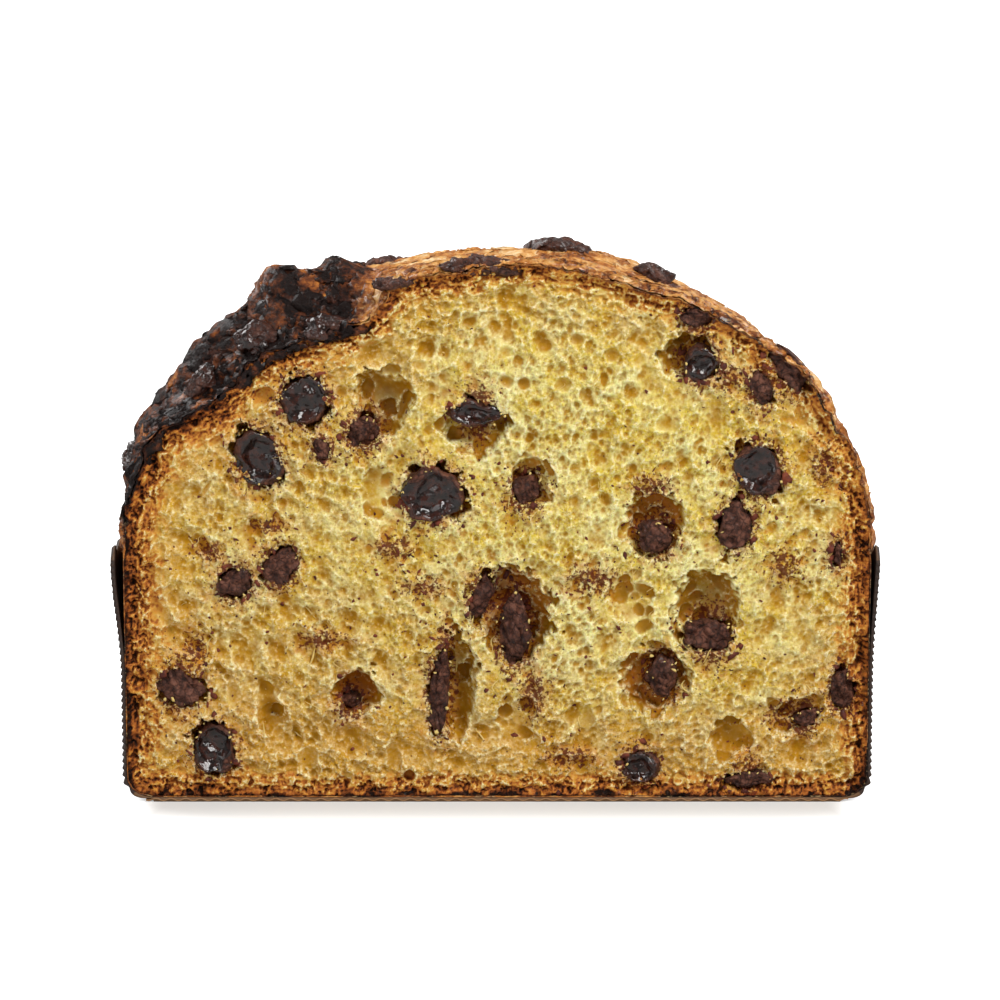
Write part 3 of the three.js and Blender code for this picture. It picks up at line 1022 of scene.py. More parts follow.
@dataclass(frozen=True)
class FlakeFinish:
    """Loose crumbs and torn skins of dough."""

    def material(self, effects: SharedEffects) -> bpy.types.Material:
        """Builds the material.

        Args:
            effects: The shared node groups.

        Returns:
            The material.
        """
        made, graph, shader = new_material("torn_crumb")
        baked = graph.group(effects.bake_tone, Level=graph.attribute("toast"), Mottle=0.1)
        tone = graph.blend(graph.noise(1.5, 3.0), srgb(206, 172, 82), srgb(230, 206, 134))
        graph.feed(
            shader.inputs["Base Color"],
            graph.blend(graph.between(graph.attribute("toast"), 0.05, 0.3), tone, baked.outputs["Color"]),
        )
        graph.feed(shader.inputs["Roughness"], graph.between(graph.noise(2.0, 2.0), 0.3, 0.7, (0.4, 0.65)))
        grain = graph.group(effects.crumb_grain, Depth=0.5)
        graph.feed(shader.inputs["Normal"], graph.bump(grain.outputs["Height"], 0.2, 0.6))
        return made


def dress(piece: bpy.types.Object, material: bpy.types.Material) -> bpy.types.Object:
    """Gives a piece its material and its place on the body.

    Args:
        piece: The piece.
        material: Its material.

    Returns:
        The same piece.
    """
    piece.data.materials.clear()
    piece.data.materials.append(material)
    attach(piece, "root")
    piece.data.calc_loop_triangles()
    LOG.info("%s: %d triangles", piece.name, len(piece.data.loop_triangles))
    return piece


@dataclass(frozen=True)
class Lump:
    """Middle, half sizes and tilt of a piece of chocolate, seen from the front."""

    x: float
    y: float
    z: float
    wide: float
    high: float
    deep: float
    tilt: float

    @classmethod
    def of_node(cls, node: str, place: LoafPlace) -> "Lump":
        """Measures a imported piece.

        Args:
            node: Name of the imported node.
            place: Where the loaf is.

        Returns:
            Its measures in the loaf's millimetres.
        """
        own = place.own(corners_of(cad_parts[node].data))
        centre = (own.min(0) + own.max(0)) / 2
        front = own[:, [0, 2]] - centre[[0, 2]]
        values, ways = np.linalg.eigh(front.T @ front)
        long_way = ways[:, 1]
        tilt = math.atan2(long_way[0], long_way[1])
        spun = front @ np.array([[math.cos(tilt), math.sin(tilt)], [-math.sin(tilt), math.cos(tilt)]])
        wide, high = np.abs(spun).max(0)
        deep = (own[:, 1].max() - own[:, 1].min()) / 2
        return cls(centre[0], centre[1], centre[2], wide, high, deep, math.degrees(tilt))


@dataclass(frozen=True)
class Froth:
    """One size of bubbles that lie side by side in the crumb."""

    spacing: float
    nearest: float
    furthest: float
    smoothness: float
    wide: tuple[float, float] = (0.52, 0.98)
    longer: tuple[float, float] = (1.0, 1.7)


@dataclass
class CrumbFace:
    """The cut face: an open crumb of bubbles, seen where the knife went through."""

    shape: LoafShape
    detail: CrustDetail
    place: LoafPlace
    lumps: list[Lump]
    step: float = 0.3
    tear: float = 0.6
    inset: float = 0.15
    tiles: int = 4
    froths: tuple[Froth, ...] = (
        Froth(6.2, -2.1, -0.4, 0.6),
        Froth(3.6, -1.45, -0.4, 0.4),
        Froth(2.1, -1.1, -0.15, 0.2),
        Froth(1.3, -0.95, 0.1, 0.05),
    )
    air_holes: tuple[Row, ...] = (
        (-30.8, 111.5, 8.0, 9.0, 9.0, -20),
        (-6.5, 103.8, 9.6, 7.4, 8.0, 0),
        (9.0, 89.6, 5.4, 7.6, 6.0, -10),
        (42.6, 77.0, 8.0, 9.8, 8.0, 0),
        (50.8, 124.0, 7.2, 5.8, 8.0, -20),
        (4.9, 52.6, 10.0, 13.0, 10.0, -12),
        (-10.8, 31.6, 5.0, 15.5, 8.0, 0),
        (57.0, 54.6, 9.6, 11.6, 9.0, 10),
        (42.7, 33.8, 9.6, 8.4, 9.0, 0),
        (-37.8, 30.5, 6.4, 6.4, 10.0, 0),
        (63.4, 18.0, 6.0, 5.4, 5.0, -20),
        (81.0, 24.2, 9.4, 4.4, 5.0, -22),
        (-31.5, 86.5, 5.6, 7.8, 4.0, 0),
        (-61.8, 24.9, 4.2, 7.0, 5.0, -12),
        (36.0, 56.0, 5.2, 9.0, 4.0, -32),
        (4.8, 21.3, 5.4, 7.6, 4.0, 0),
    )
    middle_holes: tuple[Row, ...] = (
        (-26.7, 121.7, 3.0, 2.1, 2.4, -10),
        (-20.5, 121.7, 2.8, 2.0, 2.4, 0),
        (2.2, 125.3, 2.6, 2.2, 2.2, 0),
        (21.3, 128.6, 2.8, 1.8, 2.4, 20),
        (13.2, 126.7, 2.2, 2.2, 3.4, 0),
        (31.0, 124.2, 2.6, 2.4, 2.2, 0),
        (38.6, 123.1, 2.8, 2.6, 2.2, 0),
        (2.4, 117.0, 2.6, 2.0, 2.0, 20),
        (7.3, 116.4, 2.0, 2.0, 2.4, 0),
        (17.6, 116.4, 2.6, 2.4, 2.0, 0),
        (45.9, 105.3, 3.4, 3.0, 2.0, 0),
        (-63.0, 113.0, 2.4, 3.4, 4.0, 62),
        (-24.0, 6.7, 1.7, 1.7, 6.0, 0),
        (92.3, 68.5, 1.2, 3.6, 4.0, 0),
        (-66.0, 102.0, 1.6, 3.4, 2.0, 30),
        (-79.0, 87.0, 1.1, 4.2, 2.0, 32),
        (-52.0, 12.0, 3.4, 5.0, 3.0, 10),
        (-28.0, 12.0, 2.6, 5.4, 2.6, 8),
        (24.0, 22.0, 3.0, 5.6, 2.6, 6),
        (-72.0, 30.0, 2.6, 4.6, 2.6, -8),
        (70.0, 128.0, 4.4, 1.3, 2.4, 52),
        (78.0, 104.0, 2.4, 2.0, 2.4, 30),
        (20.0, 142.0, 5.2, 1.0, 2.0, 4),
        (-46.0, 132.0, 4.6, 1.0, 2.0, -26),
    )
    soaked_holes: tuple[int, ...] = (3, 5, 8, 9)
    stains: tuple[Row, ...] = (
        (-48, 45, 11, 5),
        (-28, 71, 8, 6),
        (-62, 77, 8, 4),
        (5, 83, 7, 6),
        (42, 88, 9, 6),
        (78, 66, 8, 9),
        (10, 30, 6, 12),
        (-14, 44, 4, 12),
        (80, 24, 12, 6),
        (26, 62, 12, 8),
        (58, 42, 9, 8),
        (-82, 42, 6, 10),
        (20, 12, 12, 5),
        (62, 118, 10, 6),
        (88, 94, 6, 10),
        (-20, 60, 10, 5),
        (-78, 70, 6, 5),
    )
    depth: np.ndarray = field(init=False)
    cell: np.ndarray = field(init=False)

    def __post_init__(self) -> None:
        """Lays out the grid and carves the crumb."""
        self.x = np.arange(-102.5, 102.5, self.step)
        self.z = np.arange(0.5, 150.5, self.step)
        self.grid_x, self.grid_z = np.meshgrid(self.x, self.z)
        flat = np.stack([self.grid_x.ravel(), np.zeros(self.grid_x.size), self.grid_z.ravel()], axis=1)
        self.flat = flat
        self.outline = self._outline()
        self.wobble = self._on_grid(layered_noise(flat, 4.2, 3, 2) + 0.55 * layered_noise(flat, 1.3, 13, 2))
        self.from_crust = self._from_crust()
        self.layers = self._layers()
        self._carve_all()

    def _on_grid(self, values: np.ndarray) -> np.ndarray:
        """Folds a list of values back into the grid."""
        return values.reshape(self.grid_x.shape)

    def _outline(self) -> np.ndarray:
        """The edge of the cut, with the crust's flakes on it.

        Returns:
            Angle and distance from the shoulder's centre, one row for each of many directions.
        """
        angle = np.linspace(-math.pi, math.pi, 2401)
        ways = np.stack([np.cos(angle), np.zeros(angle.size), np.sin(angle)], axis=1)
        points = self.shape.surface(ways)
        reach = np.hypot(points[:, 0], points[:, 2] - self.shape.shoulder_z) + self.detail.rise(points)
        return np.stack([angle, reach], axis=1)

    def _from_crust(self) -> np.ndarray:
        """Distance from each place of the grid to the edge of the cut.

        Returns:
            Millimetres inside the edge, and below 0 outside it.
        """
        up = self.grid_z - self.shape.shoulder_z
        angle = np.arctan2(up, self.grid_x)
        edge = np.interp(angle, self.outline[:, 0], self.outline[:, 1])
        inside = np.hypot(self.grid_x, up) < edge - self.inset
        edge_x = (self.outline[:, 1] * np.cos(self.outline[:, 0]))[::6]
        edge_z = (self.outline[:, 1] * np.sin(self.outline[:, 0]))[::6] + self.shape.shoulder_z
        near = np.full(self.grid_x.shape, 1e9)
        for one_x, one_z in zip(edge_x, edge_z):
            np.minimum(near, (self.grid_x - one_x) ** 2 + (self.grid_z - one_z) ** 2, out=near)
        return np.where(inside, np.sqrt(near), -1.0)

    def _layers(self) -> np.ndarray:
        """Fine layers and fibres that run along the crust.

        Returns:
            A grid of about -1 to 1.
        """
        along = np.arctan2(self.grid_z - self.shape.shoulder_z, self.grid_x) * self.shape.shoulder_radius
        drawn = np.stack([along.ravel() / 4.0, np.zeros(along.size), np.maximum(self.from_crust, 0).ravel()], axis=1)
        return self._on_grid(layered_noise(drawn, 1.3, 37, 3))

    def carve(self, hole: Row, back: float = 0.0, smoothness: float = 0.0, uneven: float = 0.2) -> None:
        """Opens a bubble where the face runs through it.

        Args:
            hole: Its middle x and z, its half width, height and depth, and its tilt.
            back: How far its middle lies behind the cut.
            smoothness: How smooth its wall is, from 0 to 1.
            uneven: How far its outline strays.
        """
        mid_x, mid_z, wide, high, deep, tilt = hole
        span = max(wide, high) * 1.3
        column = np.searchsorted(self.x, (mid_x - span, mid_x + span))
        row = np.searchsorted(self.z, (mid_z - span, mid_z + span))
        part = (slice(row[0], row[1]), slice(column[0], column[1]))
        off_x = self.grid_x[part] - mid_x
        off_z = self.grid_z[part] - mid_z
        turn = math.radians(tilt)
        across = (off_x * math.cos(turn) - off_z * math.sin(turn)) / wide
        along = (off_x * math.sin(turn) + off_z * math.cos(turn)) / high
        left = 1.0 - (across**2 + along**2) * (1.0 + uneven * self.wobble[part])
        bulge = deep * np.sqrt(np.clip(left, 0.0, None))
        now = self.depth[part]
        opened = (left > 0) & (back - bulge <= now) & (back + bulge > now)
        now[opened] = (back + bulge)[opened]
        self.cell[part][opened] = smoothness

    def _lean(self, x: np.ndarray, z: np.ndarray) -> np.ndarray:
        """How bubbles lean: along the crust near it, and mostly upright inside.

        Args:
            x: Places across the face.
            z: Their heights.

        Returns:
            Angles in radians.
        """
        radial = np.arctan2(x, z - self.shape.shoulder_z * 0.6)
        flattened = (self.inside_at(x, z) < 15) & (z > 55)
        return np.where(flattened, radial + math.pi / 2, radial * 0.4)

    def _froth(self, rng: np.random.Generator, froth: Froth) -> np.ndarray:
        """Opens bubbles side by side, each cut by the face at its own depth.

        Args:
            rng: Source of chance.
            froth: Their sizes.

        Returns:
            A grid of how deep they open.
        """
        pitch = froth.spacing
        shape = (int(np.ptp(self.z) / pitch) + 3, int(np.ptp(self.x) / pitch) + 3)
        row, column = np.meshgrid(np.arange(shape[0]), np.arange(shape[1]), indexing="ij")
        mid_x = self.x[0] + (column - 1 + rng.uniform(0, 1, shape)) * pitch
        mid_z = self.z[0] + (row - 1 + rng.uniform(0, 1, shape)) * pitch
        wide = pitch * rng.uniform(*froth.wide, shape)
        high = wide * rng.uniform(*froth.longer, shape)
        behind = rng.uniform(froth.nearest, froth.furthest, shape) * wide
        lean = self._lean(mid_x, mid_z) + rng.normal(0, 0.4, shape)
        cosine, sine = np.cos(lean), np.sin(lean)
        own_row = ((self.grid_z - self.z[0]) / pitch).astype(int) + 1
        own_column = ((self.grid_x - self.x[0]) / pitch).astype(int) + 1
        deepest = np.zeros(self.grid_x.shape)
        for row_off in range(-2, 3):
            for column_off in range(-2, 3):
                near = (
                    np.clip(own_row + row_off, 0, shape[0] - 1),
                    np.clip(own_column + column_off, 0, shape[1] - 1),
                )
                off_x, off_z = self.grid_x - mid_x[near], self.grid_z - mid_z[near]
                across = (off_x * cosine[near] - off_z * sine[near]) / wide[near]
                along = (off_x * sine[near] + off_z * cosine[near]) / high[near]
                left = 1.0 - (across**2 + along**2) * (1.0 + 0.3 * self.wobble)
                opened = behind[near] + wide[near] * np.sqrt(np.clip(left, 0.0, None))
                np.maximum(deepest, opened, out=deepest)
        return deepest

    def _carve_all(self) -> None:
        """Opens the froth first and single bubbles last, so the larger ones keep smooth walls."""
        rng = np.random.default_rng(41)
        swell = self._on_grid(layered_noise(self.flat, 13.0, 7, 3))
        dense = 0.8 + 0.35 * self._on_grid(layered_noise(self.flat, 17.0, 19, 2))
        self.depth = self.tear * (0.55 + 0.5 * swell)
        self.cell = np.zeros(self.depth.shape)
        for froth in self.froths:
            opened = self._froth(rng, froth) * dense * (1.0 - 0.75 * self.cell)
            self.depth += opened
            in_bubble = froth.smoothness * smooth(opened / (0.16 * froth.spacing))
            self.cell = np.maximum(self.cell, in_bubble)
        for hole in self.middle_holes:
            self.carve(hole, 0.2, 0.8, 0.3)
        for hole in self.air_holes:
            self.carve(hole, 0.4, 0.85, 0.55)
            self._dimples(rng, hole)
        for lump in self.lumps:
            pocket = (lump.x, lump.z, lump.wide * 0.95, lump.high * 0.95, lump.deep + 2.4, lump.tilt)
            self.carve(pocket, lump.y + 0.6, 0.35, 0.75)
        loose = self._on_grid(layered_noise(self.flat, 1.1, 29, 2))
        self.depth += 0.34 * loose * (1.0 - 0.75 * self.cell)
        skin = smooth(1.0 - (self.from_crust - 2.0) / 9.0)
        crumble = self._on_grid(layered_noise(self.flat, 1.5, 47, 3))
        self.depth += skin * (1.0 * self.layers + 0.35 * self.wobble + 1.3 * smooth((crumble - 0.06) / 0.34))
        self.depth *= 0.2 + 0.8 * smooth((self.from_crust - 0.2) / 2.6)
        self.depth = np.maximum(np.minimum(self.depth, blurred(self.depth, 5) + 1.6), 0.0)

    def _dimples(self, rng: np.random.Generator, hole: Row) -> None:
        """Opens smaller bubbles in the wall of a large air hole.

        Args:
            rng: Source of chance.
            hole: The large hole, as carve takes it.
        """
        mid_x, mid_z, wide, high, deep, tilt = hole
        for _ in range(int(wide * high * 0.34)):
            turn, share = rng.uniform(0, 2 * math.pi), 1.06 * math.sqrt(rng.random())
            at = (mid_x + wide * share * math.cos(turn), mid_z + high * share * math.sin(turn))
            radius = rng.uniform(0.7, 2.4)
            back = float(self.depth_at(np.array([at[0]]), np.array([at[1]]))[0]) - radius * rng.uniform(0.3, 0.75)
            self.carve((*at, radius, radius * rng.uniform(1.0, 1.7), radius, rng.uniform(0, 180)), back, 0.8, 0.5)

    def _tones(self) -> dict[str, np.ndarray]:
        """Works out what the material reads at each place.

        Returns:
            A grid for each mask.
        """
        fine = blurred(self.depth, 1)
        near = blurred(self.depth, 3)
        wide = blurred(self.depth, 9)
        high = self.grid_z
        toast_width = np.where(high < 14, 9.0, 12.0) + 2.4 * smooth((-60 - self.grid_x) / 20)
        toast_width -= 3.0 * smooth((high - 118) / 12)
        patchy = self._on_grid(layered_noise(self.flat, 3.2, 61, 4))
        share = np.clip(1.0 - self.from_crust / toast_width + 0.22 * patchy + 0.14 * self.layers, 0.0, 1.0)
        rim = smooth((1.5 + 0.9 * self.layers + 1.1 * patchy - self.from_crust) / 0.9)
        base_or_left = smooth((16 - high) / 8) + smooth((-40 - self.grid_x) / 30)
        golden_side = smooth((self.grid_x + 20) / 50) * smooth((high - 68) / 25)
        toast = 0.78 * share**1.35 + (0.08 + 0.24 * np.clip(base_or_left, 0, 1)) * rim
        toast *= 1.0 - 0.3 * golden_side
        soak = np.zeros(self.depth.shape)
        for number in self.soaked_holes:
            mid_x, mid_z, wide_x, wide_z = self.air_holes[number][:4]
            off = ((self.grid_x - mid_x) / wide_x) ** 2 + ((self.grid_z - mid_z) / wide_z) ** 2
            soak = np.maximum(soak, smooth((1.1 + 0.5 * patchy - off) / 0.5) * smooth((self.depth - 1.6) / 1.5))
        stain = np.zeros(self.depth.shape)
        for lump in self.lumps:
            spread_x, spread_z = lump.wide * 1.2 + 2.2, lump.high * 1.2 + 2.2
            off = ((self.grid_x - lump.x) / spread_x) ** 2 + ((self.grid_z - lump.z) / spread_z) ** 2
            stain = np.maximum(stain, 0.44 * np.exp(-off * 0.75))
        for mid_x, mid_z, wide_x, wide_z in self.stains:
            off = ((self.grid_x - mid_x) / wide_x) ** 2 + ((self.grid_z - mid_z) / wide_z) ** 2
            stain = np.maximum(stain, 0.38 * np.exp(-off))
        # Orange towards the crust and at random is the crumb's own browning; the rise towards the bottom and the left
        # is painted shade.
        warm_and_shade = 0.55 * smooth((32 - self.from_crust) / 28) + 0.6 * smooth((75 - high) / 70)
        warm_and_shade = warm_and_shade + 0.45 * smooth((15 - self.grid_x) / 80) + 0.35 * patchy
        return {
            # Raised rims: partly pale torn fibre, partly a painted highlight.
            "ridge_fibre_and_highlight": 0.65 * smooth((near - self.depth - 0.06) / 0.4) + 0.35 * smooth((fine - self.depth) / 0.14),
            # Painted shade mask for small pits.
            "pit_shade": smooth((self.depth - fine) / 0.16),
            # Painted shade mask for hollows.
            "hollow": smooth((self.depth - wide + 0.15) / 1.1),
            "warm_and_shade": np.clip(warm_and_shade, 0.0, 1.0),
            # Painted shade mask, darker the deeper a hole goes.
            "deep": 0.7 * smooth((self.depth - 3.4) / 9.0),
            "cell": blurred(self.cell, 1),
            "toast": toast,
            "stain": stain,
            "soak": 0.6 * soak,
        }

    def depth_at(self, x: np.ndarray, z: np.ndarray) -> np.ndarray:
        """How far behind the cut the crumb lies at places on the face."""
        column = np.clip(((x - self.x[0]) / self.step).astype(int), 0, len(self.x) - 1)
        row = np.clip(((z - self.z[0]) / self.step).astype(int), 0, len(self.z) - 1)
        return self.depth[row, column]

    def inside_at(self, x: np.ndarray, z: np.ndarray) -> np.ndarray:
        """How far inside the edge places on the face lie."""
        column = np.clip(((x - self.x[0]) / self.step).astype(int), 0, len(self.x) - 1)
        row = np.clip(((z - self.z[0]) / self.step).astype(int), 0, len(self.z) - 1)
        return self.from_crust[row, column]

    def build(self, material: bpy.types.Material) -> list[bpy.types.Object]:
        """Makes the cut face, in upright strips that share their edges.

        Args:
            material: The crumb's material.

        Returns:
            The pieces.
        """
        edges = np.linspace(0, len(self.x) - 1, self.tiles + 1).astype(int)
        masks = self._tones()
        pieces = []
        for number, (first, last) in enumerate(zip(edges[:-1], edges[1:]), 1):
            part = (slice(None), slice(first, last + 1))
            inside = self.from_crust[part] > 0
            corner = np.full(inside.shape, -1)
            corner[inside] = np.arange(inside.sum())
            own = np.stack([grid[part][inside] for grid in (self.grid_x, self.depth, self.grid_z)], axis=1)
            ring = [corner[:-1, :-1], corner[:-1, 1:], corner[1:, 1:], corner[1:, :-1]]
            quads = np.stack([c.ravel() for c in ring], axis=1)
            quads = quads[(quads >= 0).all(axis=1)]
            piece = mesh_object(f"crumb_face_{number}", self.place.frame(own), quads)
            for name, values in masks.items():
                store(piece.data, name, values[part][inside])
            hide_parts("loaf")
            pieces.append(dress(piece, material))
        return pieces


@dataclass
class Crust:
    """The baked skin round the back, over the dome and under the loaf."""

    shape: LoafShape
    detail: CrustDetail
    place: LoafPlace
    upper_columns: int = 640
    lower_columns: int = 130
    rows: int = 190
    lip: float = 0.4
    most_triangles: int = 196000

    def _angles(self) -> np.ndarray:
        """Directions round the middle of the cut, close together over the dome."""
        low_side = math.radians(-14)
        upper = np.linspace(low_side, math.pi - low_side, self.upper_columns, endpoint=False)
        lower = np.linspace(math.pi - low_side, 2 * math.pi + low_side, self.lower_columns, endpoint=False)
        return np.concatenate([upper, lower])

    def build(self, material: bpy.types.Material) -> bpy.types.Object:
        """Makes the crust.

        Args:
            material: The crust's material.

        Returns:
            The piece.
        """
        angles = self._angles()
        backward = (np.linspace(0, 1, self.rows) ** 1.35) * (math.pi / 2 - 0.004)
        turn, back = np.meshgrid(angles, backward)
        ways = np.stack([np.cos(turn) * np.cos(back), np.sin(back), np.sin(turn) * np.cos(back)], axis=2).reshape(-1, 3)
        points = self.shape.surface(ways)
        rise = self.detail.rise(points)
        burnt = self.detail.burnt(points)
        shown = points + ways * rise[:, None]
        columns = len(angles)
        edge = shown[:columns]
        inward = -ways[:columns]
        torn = layered_noise(edge, 2.4, 71, 3)
        rims = []
        cased = smooth((70 - edge[:, 2]) / 4)
        for share, lift in ((1.0, 0.5), (0.72, 0.05), (0.3, -0.1)):
            inset = np.where(cased > 0.5, self.lip * (share - 0.3), self.lip * share) * (1 + 0.55 * torn)
            ring = edge + inward * inset[:, None]
            ring[:, 1] = np.clip(lift + 0.3 * torn, -0.1, None)
            rims.append(ring)
        every = np.concatenate([*rims, shown])
        rows = self.rows + len(rims)
        piece = mesh_object("crust", self.place.frame(every), grid_faces(rows, columns, closed=True)[:, ::-1])
        bake = self._bake(np.concatenate([np.tile(edge, (len(rims), 1)), shown]), rise, columns, len(rims))
        store(piece.data, "burnt", np.concatenate([np.tile(burnt[:columns], len(rims)), burnt]))
        store(piece.data, "bake", bake)
        thin_out(piece, self.most_triangles)
        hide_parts("loaf")
        return dress(piece, material)

    def _bake(self, points: np.ndarray, rise: np.ndarray, columns: int, extra: int) -> np.ndarray:
        """How brown the crust is.

        Args:
            points: Places on the crust, with the rim's rows first.
            rise: Extra height at the places behind the rim.
            columns: Corners in a row.
            extra: Number of rim rows.

        Returns:
            A bake level for each place.
        """
        height = np.concatenate([np.tile(rise[:columns], extra), rise])
        cloud = layered_noise(points, 24.0, 83, 4)
        side = smooth((84 - points[:, 2]) / 30)
        streak = self.detail.streak(points, 2.4, 97)
        level = 0.32 + 0.14 * cloud + 0.16 * side - 0.14 * height + 0.2 * streak
        burnt = self.detail.burnt(points)
        darker = np.maximum(burnt * (0.6 + 0.2 * streak), self.detail.browned(points) * (0.9 + 0.5 * streak))
        level = level + 0.18 * smooth((points[:, 0] - 20) / 40) + darker
        rims = level[: columns * extra]
        rims += 0.1 + 0.4 * self.detail.streak(points[: columns * extra], 1.2, 113)
        return np.clip(level, 0.0, 1.0)


@dataclass
class CrustFlakes:
    """Thin torn sheets of crust, lifted at one edge."""

    shape: LoafShape
    detail: CrustDetail
    place: LoafPlace
    name: str = "crust_flakes"
    count: int = 300
    turns: tuple[float, float] = (14.0, 166.0)
    depth: float = 0.36
    long: tuple[float, float] = (2.4, 8.0)
    wide: tuple[float, float] = (1.4, 4.2)
    skew: float = 0.5
    curl: tuple[float, float] = (0.15, 0.9)
    tone: tuple[float, float] = (0.02, 0.34)
    rows: int = 6
    columns: int = 9
    sheet: float = 0.16
    seed: int = 61

    def build(self, material: bpy.types.Material) -> bpy.types.Object:
        """Makes the flakes as one mesh.

        Args:
            material: The crust's material.

        Returns:
            The piece.
        """
        rng = np.random.default_rng(self.seed)
        one = (self.count, 1, 1)
        turn = np.radians(rng.uniform(*self.turns, one))
        back = np.abs(rng.normal(0, self.depth, one))
        long, wide = rng.uniform(*self.long, one), rng.uniform(*self.wide, one)
        heading = rng.normal(0, self.skew, one)
        curl = rng.uniform(*self.curl, one)
        down, along = np.meshgrid(np.linspace(-1, 1, self.rows), np.linspace(-1, 1, self.columns), indexing="ij")
        jag = 1 + 0.2 * rng.uniform(-1, 1, (self.count, self.rows, self.columns))
        jag *= np.sqrt(1 - 0.45 * down**2)
        u, v = along * jag * long, down * jag * wide
        radius = self.shape.shoulder_radius
        turn = turn + (u * np.cos(heading) - v * np.sin(heading)) / radius
        back = np.clip(back + (u * np.sin(heading) + v * np.cos(heading)) / radius, 0.0, 1.5)
        ways = np.stack([np.cos(turn) * np.cos(back), np.sin(back), np.sin(turn) * np.cos(back)], axis=-1).reshape(-1, 3)
        ground = self.shape.surface(ways)
        lift = 0.1 + (curl * ((down + 1) / 2) ** 2 * (1 - 0.35 * along**2)).reshape(-1)
        lift = lift + self.detail.rise(ground) + 0.12 * layered_noise(ground, 1.8, 73, 2)
        top = ground + ways * (lift + self.sheet)[:, None]
        under = ground + ways * lift[:, None]
        cell = self.rows * self.columns
        starts = np.arange(self.count)[:, None, None] * cell
        sheet = (grid_faces(self.rows, self.columns)[None] + starts).reshape(-1, 4)
        hem = (self._hem()[None] + starts).reshape(-1, 2)
        total = self.count * cell
        sides = np.stack([hem[:, 0], hem[:, 1], hem[:, 1] + total, hem[:, 0] + total], axis=1)
        faces = np.concatenate([sheet[:, ::-1], sheet + total, sides])
        piece = mesh_object(self.name, self.place.frame(np.concatenate([top, under])), faces)
        burnt = self.detail.burnt(ground)
        tone = np.broadcast_to(rng.uniform(*self.tone, one), jag.shape).reshape(-1)
        bake = tone + np.maximum(0.66 * burnt, self.detail.browned(ground)) - 0.08 * (lift - 0.5)
        store(piece.data, "burnt", np.tile(burnt * 0.7, 2))
        store(piece.data, "bake", np.tile(np.clip(bake, 0.0, 1.0), 2))
        return dress(piece, material)

    def _hem(self) -> np.ndarray:
        """Corner pairs round the edge of one flake."""
        numbers = np.arange(self.rows * self.columns).reshape(self.rows, self.columns)
        ring = np.concatenate([numbers[0], numbers[1:, -1], numbers[-1, -2::-1], numbers[-2:0:-1, 0]])
        return np.stack([ring, np.roll(ring, -1)], axis=1)


@dataclass
class BakedClods:
    """Crumpled clods of burnt dough and chocolate on the left shoulder."""

    shape: LoafShape
    detail: CrustDetail
    place: LoafPlace
    count: int = 110
    flatness: float = 0.45
    seed: int = 67

    def _slope(self, way: np.ndarray) -> tuple[np.ndarray, np.ndarray]:
        """Where a direction meets the crust, and which way the crust faces there.

        Args:
            way: A unit direction from the shoulder's centre.

        Returns:
            The place and the unit normal.
        """
        side = np.cross(way, (0.0, 1.0, 0.0))
        side /= np.linalg.norm(side)
        other = np.cross(side, way)
        tries = np.stack([way, way + 0.03 * side, way + 0.03 * other])
        spots = self.shape.surface(tries / np.linalg.norm(tries, axis=1)[:, None])
        normal = np.cross(spots[1] - spots[0], spots[2] - spots[0])
        normal /= np.linalg.norm(normal)
        return spots[0], normal * np.sign(normal @ way)

    def build(self, material: bpy.types.Material) -> bpy.types.Object:
        """Makes the clods as one mesh.

        Args:
            material: The crust's material.

        Returns:
            The piece.
        """
        rng = np.random.default_rng(self.seed)
        cage = bmesh.new()
        bmesh.ops.create_icosphere(cage, subdivisions=3, radius=1.0)
        unit = np.array([v.co for v in cage.verts])
        faces = np.array([[v.index for v in f.verts] for f in cage.faces])
        cage.free()
        points, rings = [], []
        while len(points) < self.count:
            turn, back = math.radians(rng.triangular(106, 124, 168)), abs(rng.normal(0, 0.09))
            way = np.array([math.cos(turn) * math.cos(back), math.sin(back), math.sin(turn) * math.cos(back)])
            spot, normal = self._slope(way)
            if self.detail.burnt(spot[None])[0] < rng.uniform(0.3, 0.8):
                continue
            half = rng.uniform(0.9, 2.9) * np.array([rng.uniform(0.8, 1.6), 1.0, rng.uniform(0.7, 1.2)])
            knob = 1 + 0.6 * layered_noise(unit * 2.4 + len(points) * 5.0, 1.1, 11, 3)
            body = unit * knob[:, None] * half
            body = body - normal * (body @ normal)[:, None] * self.flatness
            placed = spot + way * (self.detail.rise(spot[None])[0] - 0.35 * half.mean()) + body
            placed[:, 1] = np.clip(placed[:, 1], 0.0, None)
            rings.append(faces + len(points) * len(unit))
            points.append(placed)
        every = np.concatenate(points)
        every = every + 0.75 * np.stack([layered_noise(every, 1.3, seed, 3) for seed in (3, 5, 9)], axis=1)
        every[:, 1] = np.clip(every[:, 1], 0.0, None)
        piece = mesh_object("baked_clods", self.place.frame(every), np.concatenate(rings))
        store(piece.data, "bake", np.clip(0.84 + 0.3 * layered_noise(every, 2.4, 15, 3), 0.0, 1.0))
        store(piece.data, "burnt", np.full(len(every), 0.7))
        return dress(piece, material)


@dataclass(frozen=True)
class CaseShape:
    """Sizes of the pinked and fluted paper case."""

    loaf: LoafShape
    height: float = 68.0
    paper: float = 1.2
    gap: float = 0.35
    tooth_height: float = 3.2
    tooth_pitch: float = 8.0
    flare_from: float = 36.0
    flare_reach: float = 26.0
    flare_left: float = 2.2
    flare_right: float = 1.1
    flute_pitch: float = 1.9
    liner: float = 0.3

    def flare(self, turn: np.ndarray, z: np.ndarray) -> np.ndarray:
        """How far the case's cut edges stand off the loaf."""
        most = np.where(turn < math.pi / 2, self.flare_right, self.flare_left)
        near_cut = np.exp(-((self.loaf.shoulder_radius * np.sin(turn) / self.flare_reach) ** 2))
        return most * near_cut * smooth((z - self.flare_from) / (self.height - self.flare_from))


